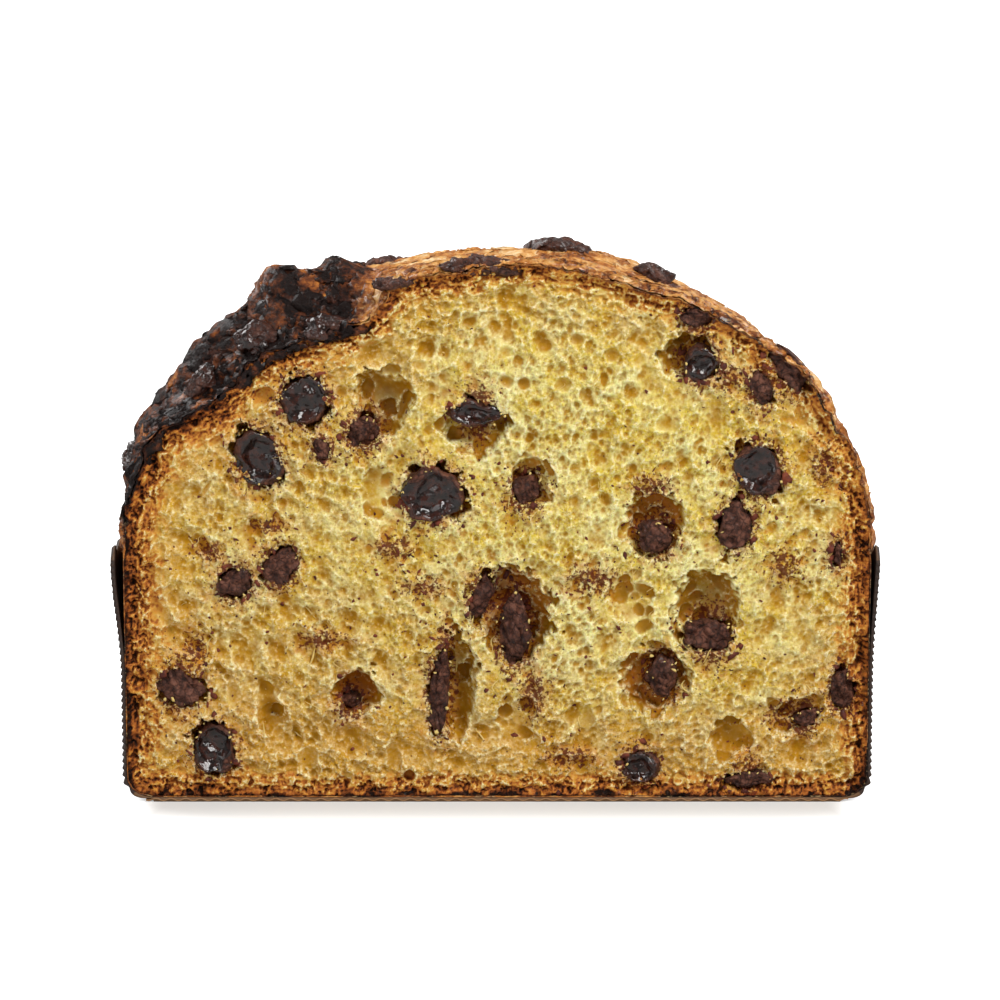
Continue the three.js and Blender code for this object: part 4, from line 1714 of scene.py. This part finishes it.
@dataclass
class PaperCase:
    """Single-faced fluted paper round the loaf, with a flat base."""

    shape: CaseShape
    place: LoafPlace
    columns: int = 161
    arc_rows: int = 26
    wall_rows: int = 196
    base_rows: int = 5

    def _section(self) -> tuple[np.ndarray, np.ndarray, np.ndarray, np.ndarray]:
        """The case's section from the middle of its base to its rim, for each column.

        Returns:
            Inner radius and height, and how far the outer face stands outward and down, as rows by columns.
        """
        case, loaf = self.shape, self.shape.loaf
        turn = np.linspace(0.0, math.pi, self.columns)
        teeth = 2 * round(math.pi * loaf.shoulder_radius / case.tooth_pitch)
        phase = turn / math.pi * teeth
        rim = case.height + case.tooth_height * (1 - np.abs((phase % 2) - 1))
        rows = []
        foot = loaf.foot_radius - loaf.foot_round
        for share in np.linspace(0.0, 1.0, self.base_rows, endpoint=False):
            rows.append((np.full(self.columns, foot * share), np.full(self.columns, case.paper), 0.0, 1.0))
        for lean in np.linspace(0.0, math.pi / 2, self.arc_rows, endpoint=False):
            radius = foot + (loaf.foot_round + case.gap) * math.sin(lean)
            height = loaf.foot_round - (loaf.foot_round - case.paper) * math.cos(lean)
            rows.append((np.full(self.columns, radius), np.full(self.columns, height), math.sin(lean), math.cos(lean)))
        for share in np.linspace(0.0, 1.0, self.wall_rows):
            height = loaf.foot_round + (rim - loaf.foot_round) * share
            radius = loaf.wall_radius(height) + case.flare(turn, height) + case.gap
            rows.append((radius, height, 1.0, 0.0))
        inner_r = np.array([row[0] for row in rows])
        inner_z = np.array([row[1] for row in rows])
        out = np.array([np.full(self.columns, row[2]) for row in rows])
        down = np.array([np.full(self.columns, row[3]) for row in rows])
        return inner_r, inner_z, out, down

    def build(self, material: bpy.types.Material) -> bpy.types.Object:
        """Makes the case.

        Args:
            material: The paper's material.

        Returns:
            The piece.
        """
        case = self.shape
        inner_r, inner_z, out, down = self._section()
        turn = np.broadcast_to(np.linspace(0.0, math.pi, self.columns), inner_r.shape)
        path = inner_z + (1 - out) * 4.0
        wave = 0.5 + 0.5 * np.cos(2 * math.pi * path / case.flute_pitch)
        thick = case.liner + (case.paper - case.liner) * wave**0.8 * np.clip(out * 1.5, 0, 1)
        thick = np.where(out < 0.02, case.paper, thick)
        spots = np.stack([inner_r * np.cos(turn), inner_r * np.sin(turn), inner_z], axis=2).reshape(-1, 3)
        dent = 0.35 * layered_noise(spots, 19.0, 91, 3).reshape(inner_r.shape)
        dent = dent * np.clip(out, 0, 1) * smooth((inner_z - 40) / 22) * 0.8
        layers = []
        for extra in (thick, np.zeros(thick.shape)):
            radius = inner_r + dent + extra * out
            height = inner_z - extra * down
            layers.append(np.stack([radius * np.cos(turn), radius * np.sin(turn), height], axis=2).reshape(-1, 3))
        rows, columns = inner_r.shape
        outer_faces = grid_faces(rows, columns)
        inner_faces = grid_faces(rows, columns)[:, ::-1] + rows * columns
        caps = self._caps(rows, columns)
        strip_points, strip_faces = self._base_edge(2 * rows * columns)
        points = np.concatenate([*layers, strip_points])
        piece = mesh_object("paper_case_fluted", self.place.frame(points), np.concatenate([outer_faces, inner_faces, caps, strip_faces]))
        crest = np.concatenate([wave.ravel(), np.full(rows * columns, 0.35), np.ones(len(strip_points))])
        edge = np.zeros((2, rows, columns))
        edge[:, -1, :] = 0.22
        edge[:, : self.base_rows + self.arc_rows // 2, [0, -1]] = 0.45
        store(piece.data, "crest", crest)
        store(piece.data, "edge", np.concatenate([edge.ravel(), np.ones(len(strip_points))]))
        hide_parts("paper_case")
        return dress(piece, material)

    @staticmethod
    def _caps(rows: int, columns: int) -> np.ndarray:
        """Closes the sheet along its rim, its two cut ends and its middle.

        Args:
            rows: Rows of corners in a layer.
            columns: Corners in a row.

        Returns:
            The closing faces.
        """
        layer = rows * columns
        faces = []
        for row in (0, rows - 1):
            start = row * columns
            for column in range(columns - 1):
                one, two = start + column, start + column + 1
                ring = (one, one + layer, two + layer, two)
                faces.append(ring if row == 0 else ring[::-1])
        for column in (0, columns - 1):
            for row in range(rows - 1):
                one, two = row * columns + column, (row + 1) * columns + column
                ring = (one, two, two + layer, one + layer)
                faces.append(ring if column == 0 else ring[::-1])
        return np.array(faces)

    def _base_edge(self, start: int) -> tuple[np.ndarray, np.ndarray]:
        """The wavy cut edge of the base's fluting, along the front.

        Args:
            start: Number of the first corner.

        Returns:
            Its corners and faces.
        """
        x = np.arange(-96.0, 96.01, 0.5)
        wave = 0.62 + 0.32 * np.sin(2 * math.pi * x / 4.1)
        rings = []
        for y, lift in ((7.0, 0.16), (-0.15, 0.16), (-0.15, -0.16), (7.0, -0.16)):
            rings.append(np.stack([x, np.full(x.size, y), wave + lift], axis=1))
        faces = grid_faces(4, x.size) + start
        return np.concatenate(rings), faces


@dataclass
class ChocolatePiece:
    """One lump of chocolate, made finer than its solid."""

    node: str
    kind: ChocolateKind
    place: LoafPlace
    shape: LoafShape
    seed: int
    levels: int = 3
    planes: int = 15
    flush: float = 0.5
    proud: float = 0.9
    most_proud: float = 1.5
    snapped: dict[ChocolateKind, float] = field(
        default_factory=lambda: {ChocolateKind.MELTED: 0.6, ChocolateKind.BROKEN: 1.0, ChocolateKind.BAKED: 0.85}
    )

    def build(self, material: bpy.types.Material) -> bpy.types.Object:
        """Makes the piece.

        Args:
            material: The chocolate's material.

        Returns:
            The piece.
        """
        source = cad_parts[self.node].data
        cage = bmesh.new()
        cage.from_mesh(source)
        bmesh.ops.remove_doubles(cage, verts=cage.verts, dist=0.01 * MM)
        mesh = bpy.data.meshes.new(self.node + "_fine")
        cage.to_mesh(mesh)
        cage.free()
        piece = bpy.data.objects.new(self.node + "_fine", mesh)
        bpy.context.scene.collection.objects.link(piece)
        rounder = piece.modifiers.new("rounder", "SUBSURF")
        rounder.levels = self.levels
        rounder.render_levels = self.levels
        rounder.subdivision_type = "CATMULL_CLARK"
        settle(piece)
        own = self.place.own(corners_of(piece.data))
        target = self.place.own(corners_of(source))
        middle = (target.min(0) + target.max(0)) / 2
        half = (target.max(0) - target.min(0)) / 2
        grow = half / ((own.max(0) - own.min(0)) / 2)
        own = middle + (own - (own.max(0) + own.min(0)) / 2) * grow
        own = self._broken_planes(own, middle, half)
        put_corners(piece.data, own)
        ways = normals_of(piece.data)
        size = float(half.mean())
        away = (own - middle) / half
        rim = np.hypot(away[:, 0], away[:, 2])
        coarse = layered_noise(own, size * 0.9, self.seed, 3)
        facets = np.abs(layered_noise(own, size * 0.55, self.seed + 5, 2))
        crumbly = layered_noise(own, 1.3, self.seed + 9, 3)
        face = self.node.startswith("chocolate_face")
        if self.kind is ChocolateKind.MELTED:
            shift = 0.12 * size * coarse + (0.4 * crumbly + 0.12 * size * facets) * smooth((rim - 0.5) / 0.3)
            melt = np.clip(smooth((0.95 + 0.35 * coarse - rim) / 0.2) * smooth(-away[:, 1] / 0.4 + 0.4), 0, 1)
        else:
            shift = 0.2 * size * coarse - 0.14 * size * (1 - smooth(facets / 0.18)) + 0.34 * crumbly
            charred = 0.15 + 0.6 * CrustDetail(self.shape).burnt(own)
            melt = np.clip(0.2 * smooth((coarse - 0.1) / 0.5) if face else charred + 0.5 * coarse, 0, 1)
        moved = own + ways * shift[:, None]
        moved = self._held(moved) if face else moved + self._outward(moved) * self.proud
        if face:
            ahead = moved[:, 1] < self.flush
            moved[:, 1] = np.where(ahead, self.flush + (moved[:, 1] - self.flush) * 0.25, moved[:, 1])
            front = smooth(-away[:, 1] / 0.5)
            folds = layered_noise(own, 0.7 * size, self.seed + 21, 2)
            if self.kind is ChocolateKind.MELTED:
                hollow = smooth((0.9 + 0.3 * coarse - rim) / 0.6) * min(2.6, 0.5 * half[1])
                moved[:, 1] += front * (hollow + 1.3 * folds)
            else:
                moved[:, 1] += front * 1.1 * (np.abs(folds) * 1.6 - 0.3)
        put_corners(piece.data, self.place.frame(moved))
        store(piece.data, "melt", melt)
        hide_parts(self.node)
        return dress(piece, material)

    def _outward(self, points: np.ndarray) -> np.ndarray:
        """Unit directions from the shoulder's centre to places."""
        away = points - np.array([0.0, 0.0, self.shape.shoulder_z])
        return away / np.linalg.norm(away, axis=1)[:, None]

    def _held(self, points: np.ndarray) -> np.ndarray:
        """Flattens what would stand far out of the crust.

        Args:
            points: Corners of the lump.

        Returns:
            The corners, little further out than the crust.
        """
        ways = self._outward(points)
        beyond = ((points - self.shape.surface(ways)) * ways).sum(axis=1) - self.most_proud
        return points - ways * (0.75 * np.clip(beyond, 0.0, None))[:, None]

    def _broken_planes(self, own: np.ndarray, middle: np.ndarray, half: np.ndarray) -> np.ndarray:
        """Cuts a lump by planes at chance angles, so that it looks snapped from a bar.

        Args:
            own: Its corners.
            middle: Its middle.
            half: Its half sizes.

        Returns:
            Its corners, none beyond its old box.
        """
        rng = np.random.default_rng(self.seed)
        away = (own - middle) / half
        planes = rng.normal(size=(self.planes, 3))
        planes /= np.linalg.norm(planes, axis=1)[:, None]
        off = rng.uniform(0.62, 0.9, self.planes)
        reach = away @ planes.T / off
        most = np.maximum(reach.max(axis=1), 1e-6)
        cut = np.where(most > 1.0, 1.0 / most, 1.0)
        shaped = away * cut[:, None]
        low, high = shaped.min(0), shaped.max(0)
        shaped = (shaped - (low + high) / 2) / ((high - low) / 2)
        share = self.snapped[self.kind]
        return middle + (away * (1 - share) + shaped * share) * half


@dataclass
class ScatteredBits:
    """Chocolate specks, torn skins and crumbs on the cut face."""

    face: CrumbFace
    place: LoafPlace
    calm_edge: float = 14.0
    seed: int = 77

    def _spots(self, rng: np.random.Generator, count: int, near_lumps: float) -> np.ndarray:
        """Picks places on the face.

        Args:
            rng: Source of chance.
            count: How many.
            near_lumps: Share of them that lie round the chocolate.

        Returns:
            Places as x and z, one row each.
        """
        places = []
        lumps = self.face.lumps
        while len(places) < count:
            if rng.random() < near_lumps:
                if rng.random() < 0.55:
                    lump = lumps[rng.integers(len(lumps))]
                    mid_x, mid_z, spread = lump.x, lump.z, max(lump.wide, lump.high) * 0.9 + 1.5
                else:
                    row = self.face.stains[rng.integers(len(self.face.stains))]
                    mid_x, mid_z, spread = row[0], row[1], (row[2] + row[3]) * 0.4
                x, z = rng.normal(mid_x, spread), rng.normal(mid_z, spread)
            else:
                x, z = rng.uniform(-100, 100), rng.uniform(2, 146)
            if self.face.inside_at(np.array([x]), np.array([z]))[0] > 1.0:
                places.append((x, z))
        return np.array(places)

    def _rims(self, rng: np.random.Generator, often: float, share_of: float, stray: float) -> np.ndarray:
        """Picks places along the rims of the chocolate.

        Args:
            rng: Source of chance.
            often: How many places there are for each millimetre of size.
            share_of: How far out they lie, where 1 is the rim.
            stray: How far that varies.

        Returns:
            Places as x and z, one row each.
        """
        places = []
        for lump in self.face.lumps:
            for _ in range(int((lump.wide + lump.high) * often)):
                turn, share = rng.uniform(0, 2 * math.pi), rng.normal(share_of, stray)
                across, upward = lump.wide * share * math.cos(turn), lump.high * share * math.sin(turn)
                tilt = math.radians(lump.tilt)
                x = lump.x + across * math.cos(tilt) + upward * math.sin(tilt)
                z = lump.z - across * math.sin(tilt) + upward * math.cos(tilt)
                places.append((x, z))
        found = np.array(places)
        return found[self.face.inside_at(found[:, 0], found[:, 1]) > 0.6]

    def _bits(self, name: str, spots: np.ndarray, sizes: np.ndarray, flat: float, rng: np.random.Generator, most_back: np.ndarray | float = 99.0) -> tuple:
        """Sets a small knobbly lump at each place, all in one mesh.

        Args:
            name: Name of the piece.
            spots: Places on the face.
            sizes: Half size of each lump.
            flat: How flat they lie, from 0 to 1.
            rng: Source of chance.
            most_back: Furthest that a lump lies behind the cut.

        Returns:
            The piece and the number of corners of each lump.
        """
        cage = bmesh.new()
        bmesh.ops.create_icosphere(cage, subdivisions=1, radius=1.0)
        unit = np.array([v.co for v in cage.verts])
        faces = np.array([[v.index for v in f.verts] for f in cage.faces])
        cage.free()
        depth = np.minimum(self.face.depth_at(spots[:, 0], spots[:, 1]), most_back)
        points, rings = [], []
        for number, ((x, z), size, back) in enumerate(zip(spots, sizes, depth)):
            knobs = unit * rng.uniform(0.55, 1.25, (len(unit), 1))
            stretch = np.array([rng.uniform(0.5, 2.2), flat, rng.uniform(0.5, 1.4)])
            spin = rng.uniform(0, math.pi)
            turned = knobs * stretch * size
            across = turned[:, 0] * math.cos(spin) - turned[:, 2] * math.sin(spin)
            upward = turned[:, 0] * math.sin(spin) + turned[:, 2] * math.cos(spin)
            points.append(np.stack([x + across, back + turned[:, 1], z + upward], axis=1))
            rings.append(faces + number * len(unit))
        piece = mesh_object(name, self.place.frame(np.concatenate(points)), np.concatenate(rings))
        return piece, len(unit)

    def specks(self, material: bpy.types.Material, count: int = 2900) -> bpy.types.Object:
        """Makes the chocolate specks in the crumb.

        Args:
            material: The chocolate's material.
            count: How many specks.

        Returns:
            The piece.
        """
        rng = np.random.default_rng(self.seed)
        spots = self._spots(rng, count, 0.86)
        sizes = 0.12 + 0.5 * rng.random(count) ** 4.0
        rims = self._rims(rng, 1.1, 1.12, 0.16)
        spots, sizes = np.concatenate([spots, rims]), np.concatenate([sizes, rng.uniform(0.3, 1.1, len(rims))])
        piece, _ = self._bits("chocolate_specks", spots, sizes, 0.5, rng)
        return dress(piece, material)

    def crumbs(self, material: bpy.types.Material, count: int = 1300) -> bpy.types.Object:
        """Makes small raised crumbs of dough.

        Args:
            material: The torn crumb's material.
            count: How many crumbs.

        Returns:
            The piece.
        """
        rng = np.random.default_rng(self.seed + 1)
        spots = self._spots(rng, count, 0.3)
        sizes = 0.1 + 0.3 * rng.random(count) ** 3
        rims = self._rims(rng, 1.0, 1.0, 0.12)
        spots, sizes = np.concatenate([spots, rims]), np.concatenate([sizes, rng.uniform(0.12, 0.45, len(rims))])
        most_back = np.concatenate([np.full(count, 99.0), np.full(len(rims), 0.5)])
        piece, corners = self._bits("loose_crumbs", spots, sizes, 0.8, rng, most_back)
        inside = self.face.inside_at(spots[:, 0], spots[:, 1])
        store(piece.data, "toast", np.repeat(np.clip(1 - inside / 7.0, 0, 1), corners))
        return dress(piece, material)

    def threads(self, material: bpy.types.Material, count: int = 120) -> bpy.types.Object:
        """Makes fine threads of dough, drawn out over the crumb and its holes.

        Args:
            material: The torn crumb's material.
            count: How many threads.

        Returns:
            The piece.
        """
        rng = np.random.default_rng(self.seed + 2)
        share = np.linspace(-1, 1, 11)
        sides = np.array([(1, 0), (0, 1), (-1, 0), (0, -1)]) * 0.5
        points, rings = [], []
        spots = self._spots(rng, count, 0.45)
        spots = spots[self.face.inside_at(spots[:, 0], spots[:, 1]) > self.calm_edge]
        for number, (x, z) in enumerate(spots):
            half, lean, bend = rng.uniform(0.7, 3.2), rng.normal(0, 0.5), rng.normal(0, 0.7)
            path_x = x + half * share * math.sin(lean) + bend * (share**2 + 0.6 * np.sin(2.6 * share + bend * 4))
            path_z = z + half * share * math.cos(lean)
            depth = self.face.depth_at(path_x, path_z)
            back = np.minimum(depth, depth.min() + 0.9)
            thick = rng.uniform(0.2, 0.6) * (1 - 0.85 * share**2)
            across, toward = np.outer(thick, sides[:, 0]), np.outer(thick, sides[:, 1])
            ring = np.stack([path_x[:, None] + across, back[:, None] + toward, path_z[:, None] + 0 * across], axis=2)
            rings.append(grid_faces(len(share), len(sides), closed=True) + number * ring.shape[0] * ring.shape[1])
            points.append(ring.reshape(-1, 3))
        piece = mesh_object("dough_threads", self.place.frame(np.concatenate(points)), np.concatenate(rings))
        return dress(piece, material)


@dataclass(frozen=True)
class Studio:
    """Camera, pale floor and soft light, as in the photograph."""

    place: LoafPlace
    aim: tuple[float, float, float] = (0.8, 0.0, 84.65)
    elevation: float = 13.0
    distance: float = 1.5
    frame_width: float = 0.270
    sensor: float = 36.0
    room_light: float = 0.28
    # Strengths of the floor's painted glow near the loaf and further out.
    near_painted_glow: float = 0.16
    far_painted_glow: float = 0.9

    def camera(self) -> bpy.types.Object:
        """Makes the camera at the photograph's angle.

        Returns:
            The camera.
        """
        lens = bpy.data.cameras.new("camera")
        lens.sensor_width = self.sensor
        lens.lens = self.sensor / 2 / (self.frame_width / 2 / self.distance)
        lens.clip_start = 0.01
        lens.clip_end = 20.0
        made = bpy.data.objects.new("camera", lens)
        bpy.context.scene.collection.objects.link(made)
        target = Vector(self.place.frame(np.array(self.aim)))
        rise = math.radians(self.elevation)
        back = Vector((0.0, -math.cos(rise), math.sin(rise)))
        made.location = target + back * self.distance
        made.rotation_euler = (-back).to_track_quat("-Z", "Y").to_euler()
        bpy.context.scene.camera = made
        return made

    def light(self, name: str, at: tuple, size: float, power: float, colour: tuple) -> bpy.types.Object:
        """Adds a soft square light that faces the loaf.

        Args:
            name: Name of the light.
            at: Where it stands, in metres.
            size: Length of its side.
            power: Its power in watts.
            colour: Its colour.

        Returns:
            The light.
        """
        lamp = bpy.data.lights.new(name, "AREA")
        lamp.shape = "SQUARE"
        lamp.size = size
        lamp.energy = power
        lamp.color = colour
        made = bpy.data.objects.new(name, lamp)
        bpy.context.scene.collection.objects.link(made)
        made.location = at
        made.rotation_euler = (Vector((0, 0, 0.07)) - Vector(at)).to_track_quat("-Z", "Y").to_euler()
        return made

    def floor(self) -> bpy.types.Object:
        """Lays the pale floor, which glows for the camera only as painted light, dimmer near the loaf's front and sides
        so that its shadow shows there.

        Returns:
            The floor.
        """
        corners = np.array([(-6, -6, 0), (6, -6, 0), (6, 6, 0), (-6, 6, 0)], dtype=float)
        made = mesh_object("floor", corners, [(0, 1, 2, 3)])
        material, graph, shader = new_material("pale_floor")
        tone = graph.blend(graph.noise(180.0, 2.0), (0.60, 0.60, 0.595, 1), (0.62, 0.62, 0.62, 1))
        graph.feed(shader.inputs["Base Color"], tone)
        shader.inputs["Roughness"].default_value = 0.8
        shader.inputs["Specular IOR Level"].default_value = 0.1
        shader.inputs["Emission Color"].default_value = (1.0, 1.0, 1.0, 1.0)
        # Painted light: the floor glows for camera rays only, less near the loaf's front and sides, more further out.
        seen = graph.add("ShaderNodeLightPath").outputs["Is Camera Ray"]
        parts = graph.add("ShaderNodeSeparateXYZ")
        graph.feed(parts.inputs[0], graph.place())
        aside = graph.between(graph.sum(parts.outputs[0], 0.0, "ABSOLUTE"), 0.088, 0.103)
        ahead = graph.between(graph.sum(parts.outputs[1], 0.0, "ABSOLUTE"), 0.05, 0.085)
        away = graph.sum(aside, ahead, "MAXIMUM")
        painted_glow = graph.between(away, 0.0, 1.0, (self.near_painted_glow, self.far_painted_glow))
        graph.feed(shader.inputs["Emission Strength"], graph.sum(seen, painted_glow, "MULTIPLY"))
        made.data.materials.append(material)
        return made

    def build(self) -> None:
        """Sets up the whole studio."""
        self.camera()
        self.floor()
        self.light("key", (0.7, -0.8, 1.15), 0.6, 18.9, (1.0, 0.99, 0.97))
        self.light("fill", (-1.0, -0.9, 0.6), 0.7, 4.2, (1.0, 1.0, 1.0))
        self.light("front", (-0.25, -1.2, 0.75), 0.12, 1.2, (1.0, 1.0, 1.0))
        self.light("rim_left", (-0.9, 0.75, 0.95), 0.7, 14.0, (1.0, 1.0, 1.0))
        self.light("rim_right", (0.95, 0.8, 0.8), 0.7, 7.0, (1.0, 1.0, 1.0))
        world = bpy.data.worlds.new("white_room")
        bpy.context.scene.world = world
        world.use_nodes = True
        graph = Graph(world.node_tree)
        sky = world.node_tree.nodes["Background"]
        sky.inputs["Color"].default_value = (1.0, 1.0, 1.0, 1.0)
        seen = graph.add("ShaderNodeLightPath").outputs["Is Camera Ray"]
        graph.feed(sky.inputs["Strength"], graph.between(seen, 0.0, 1.0, (self.room_light, 1.0)))
        bpy.context.scene.view_settings.view_transform = "Standard"
        bpy.context.scene.view_settings.look = "None"


@dataclass
class Panettone:
    """The whole part: crumb, crust, case and chocolate."""

    loaf: LoafShape = field(default_factory=LoafShape)
    melted: tuple[int, ...] = (1, 2, 4, 5, 14, 21, 8, 10)

    def build(self) -> None:
        """Builds and dresses every piece in order."""
        case = CaseShape(self.loaf)
        place = LoafPlace.from_case(case)
        Studio(place).build()
        effects = SharedEffects()
        detail = CrustDetail(self.loaf)
        names = sorted(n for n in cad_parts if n.startswith("chocolate_"))
        face_names = [n for n in names if n.startswith("chocolate_face")]
        finishes = {kind: ChocolateFinish(kind).material(effects) for kind in ChocolateKind}
        lumps = [Lump.of_node(n, place) for n in face_names]
        face = CrumbFace(self.loaf, detail, place, lumps)
        face.build(CrumbFinish().material(effects))
        crust_look = CrustFinish().material(effects)
        Crust(self.loaf, detail, place).build(crust_look)
        CrustFlakes(self.loaf, detail, place).build(crust_look)
        edge = CrustFlakes(
            self.loaf,
            detail,
            place,
            name="edge_flakes",
            count=520,
            turns=(4.0, 176.0),
            depth=0.03,
            long=(1.0, 4.5),
            wide=(0.6, 1.8),
            skew=0.35,
            curl=(0.2, 1.7),
            tone=(0.18, 0.55),
            rows=4,
            columns=6,
            seed=63,
        )
        edge.build(crust_look)
        BakedClods(self.loaf, detail, place).build(crust_look)
        PaperCase(case, place).build(PaperFinish().material(effects))
        for number, name in enumerate(names):
            kind = self._kind(name)
            ChocolatePiece(name, kind, place, self.loaf, 100 + 7 * number).build(finishes[kind])
        bits = ScatteredBits(face, place)
        bits.specks(SpeckFinish().material())
        torn = FlakeFinish().material(effects)
        bits.crumbs(torn)
        bits.threads(torn)

    def _kind(self, name: str) -> ChocolateKind:
        """Tells how a piece of chocolate looks from its name."""
        if name.startswith("chocolate_crust"):
            return ChocolateKind.BAKED
        number = int(name.rsplit("_", 1)[1])
        return ChocolateKind.MELTED if number in self.melted else ChocolateKind.BROKEN


def main() -> None:
    """Builds the part."""
    logging.basicConfig(level=logging.INFO, format="%(message)s")
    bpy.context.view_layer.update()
    Panettone().build()


if __name__ == "__main__":
    main()
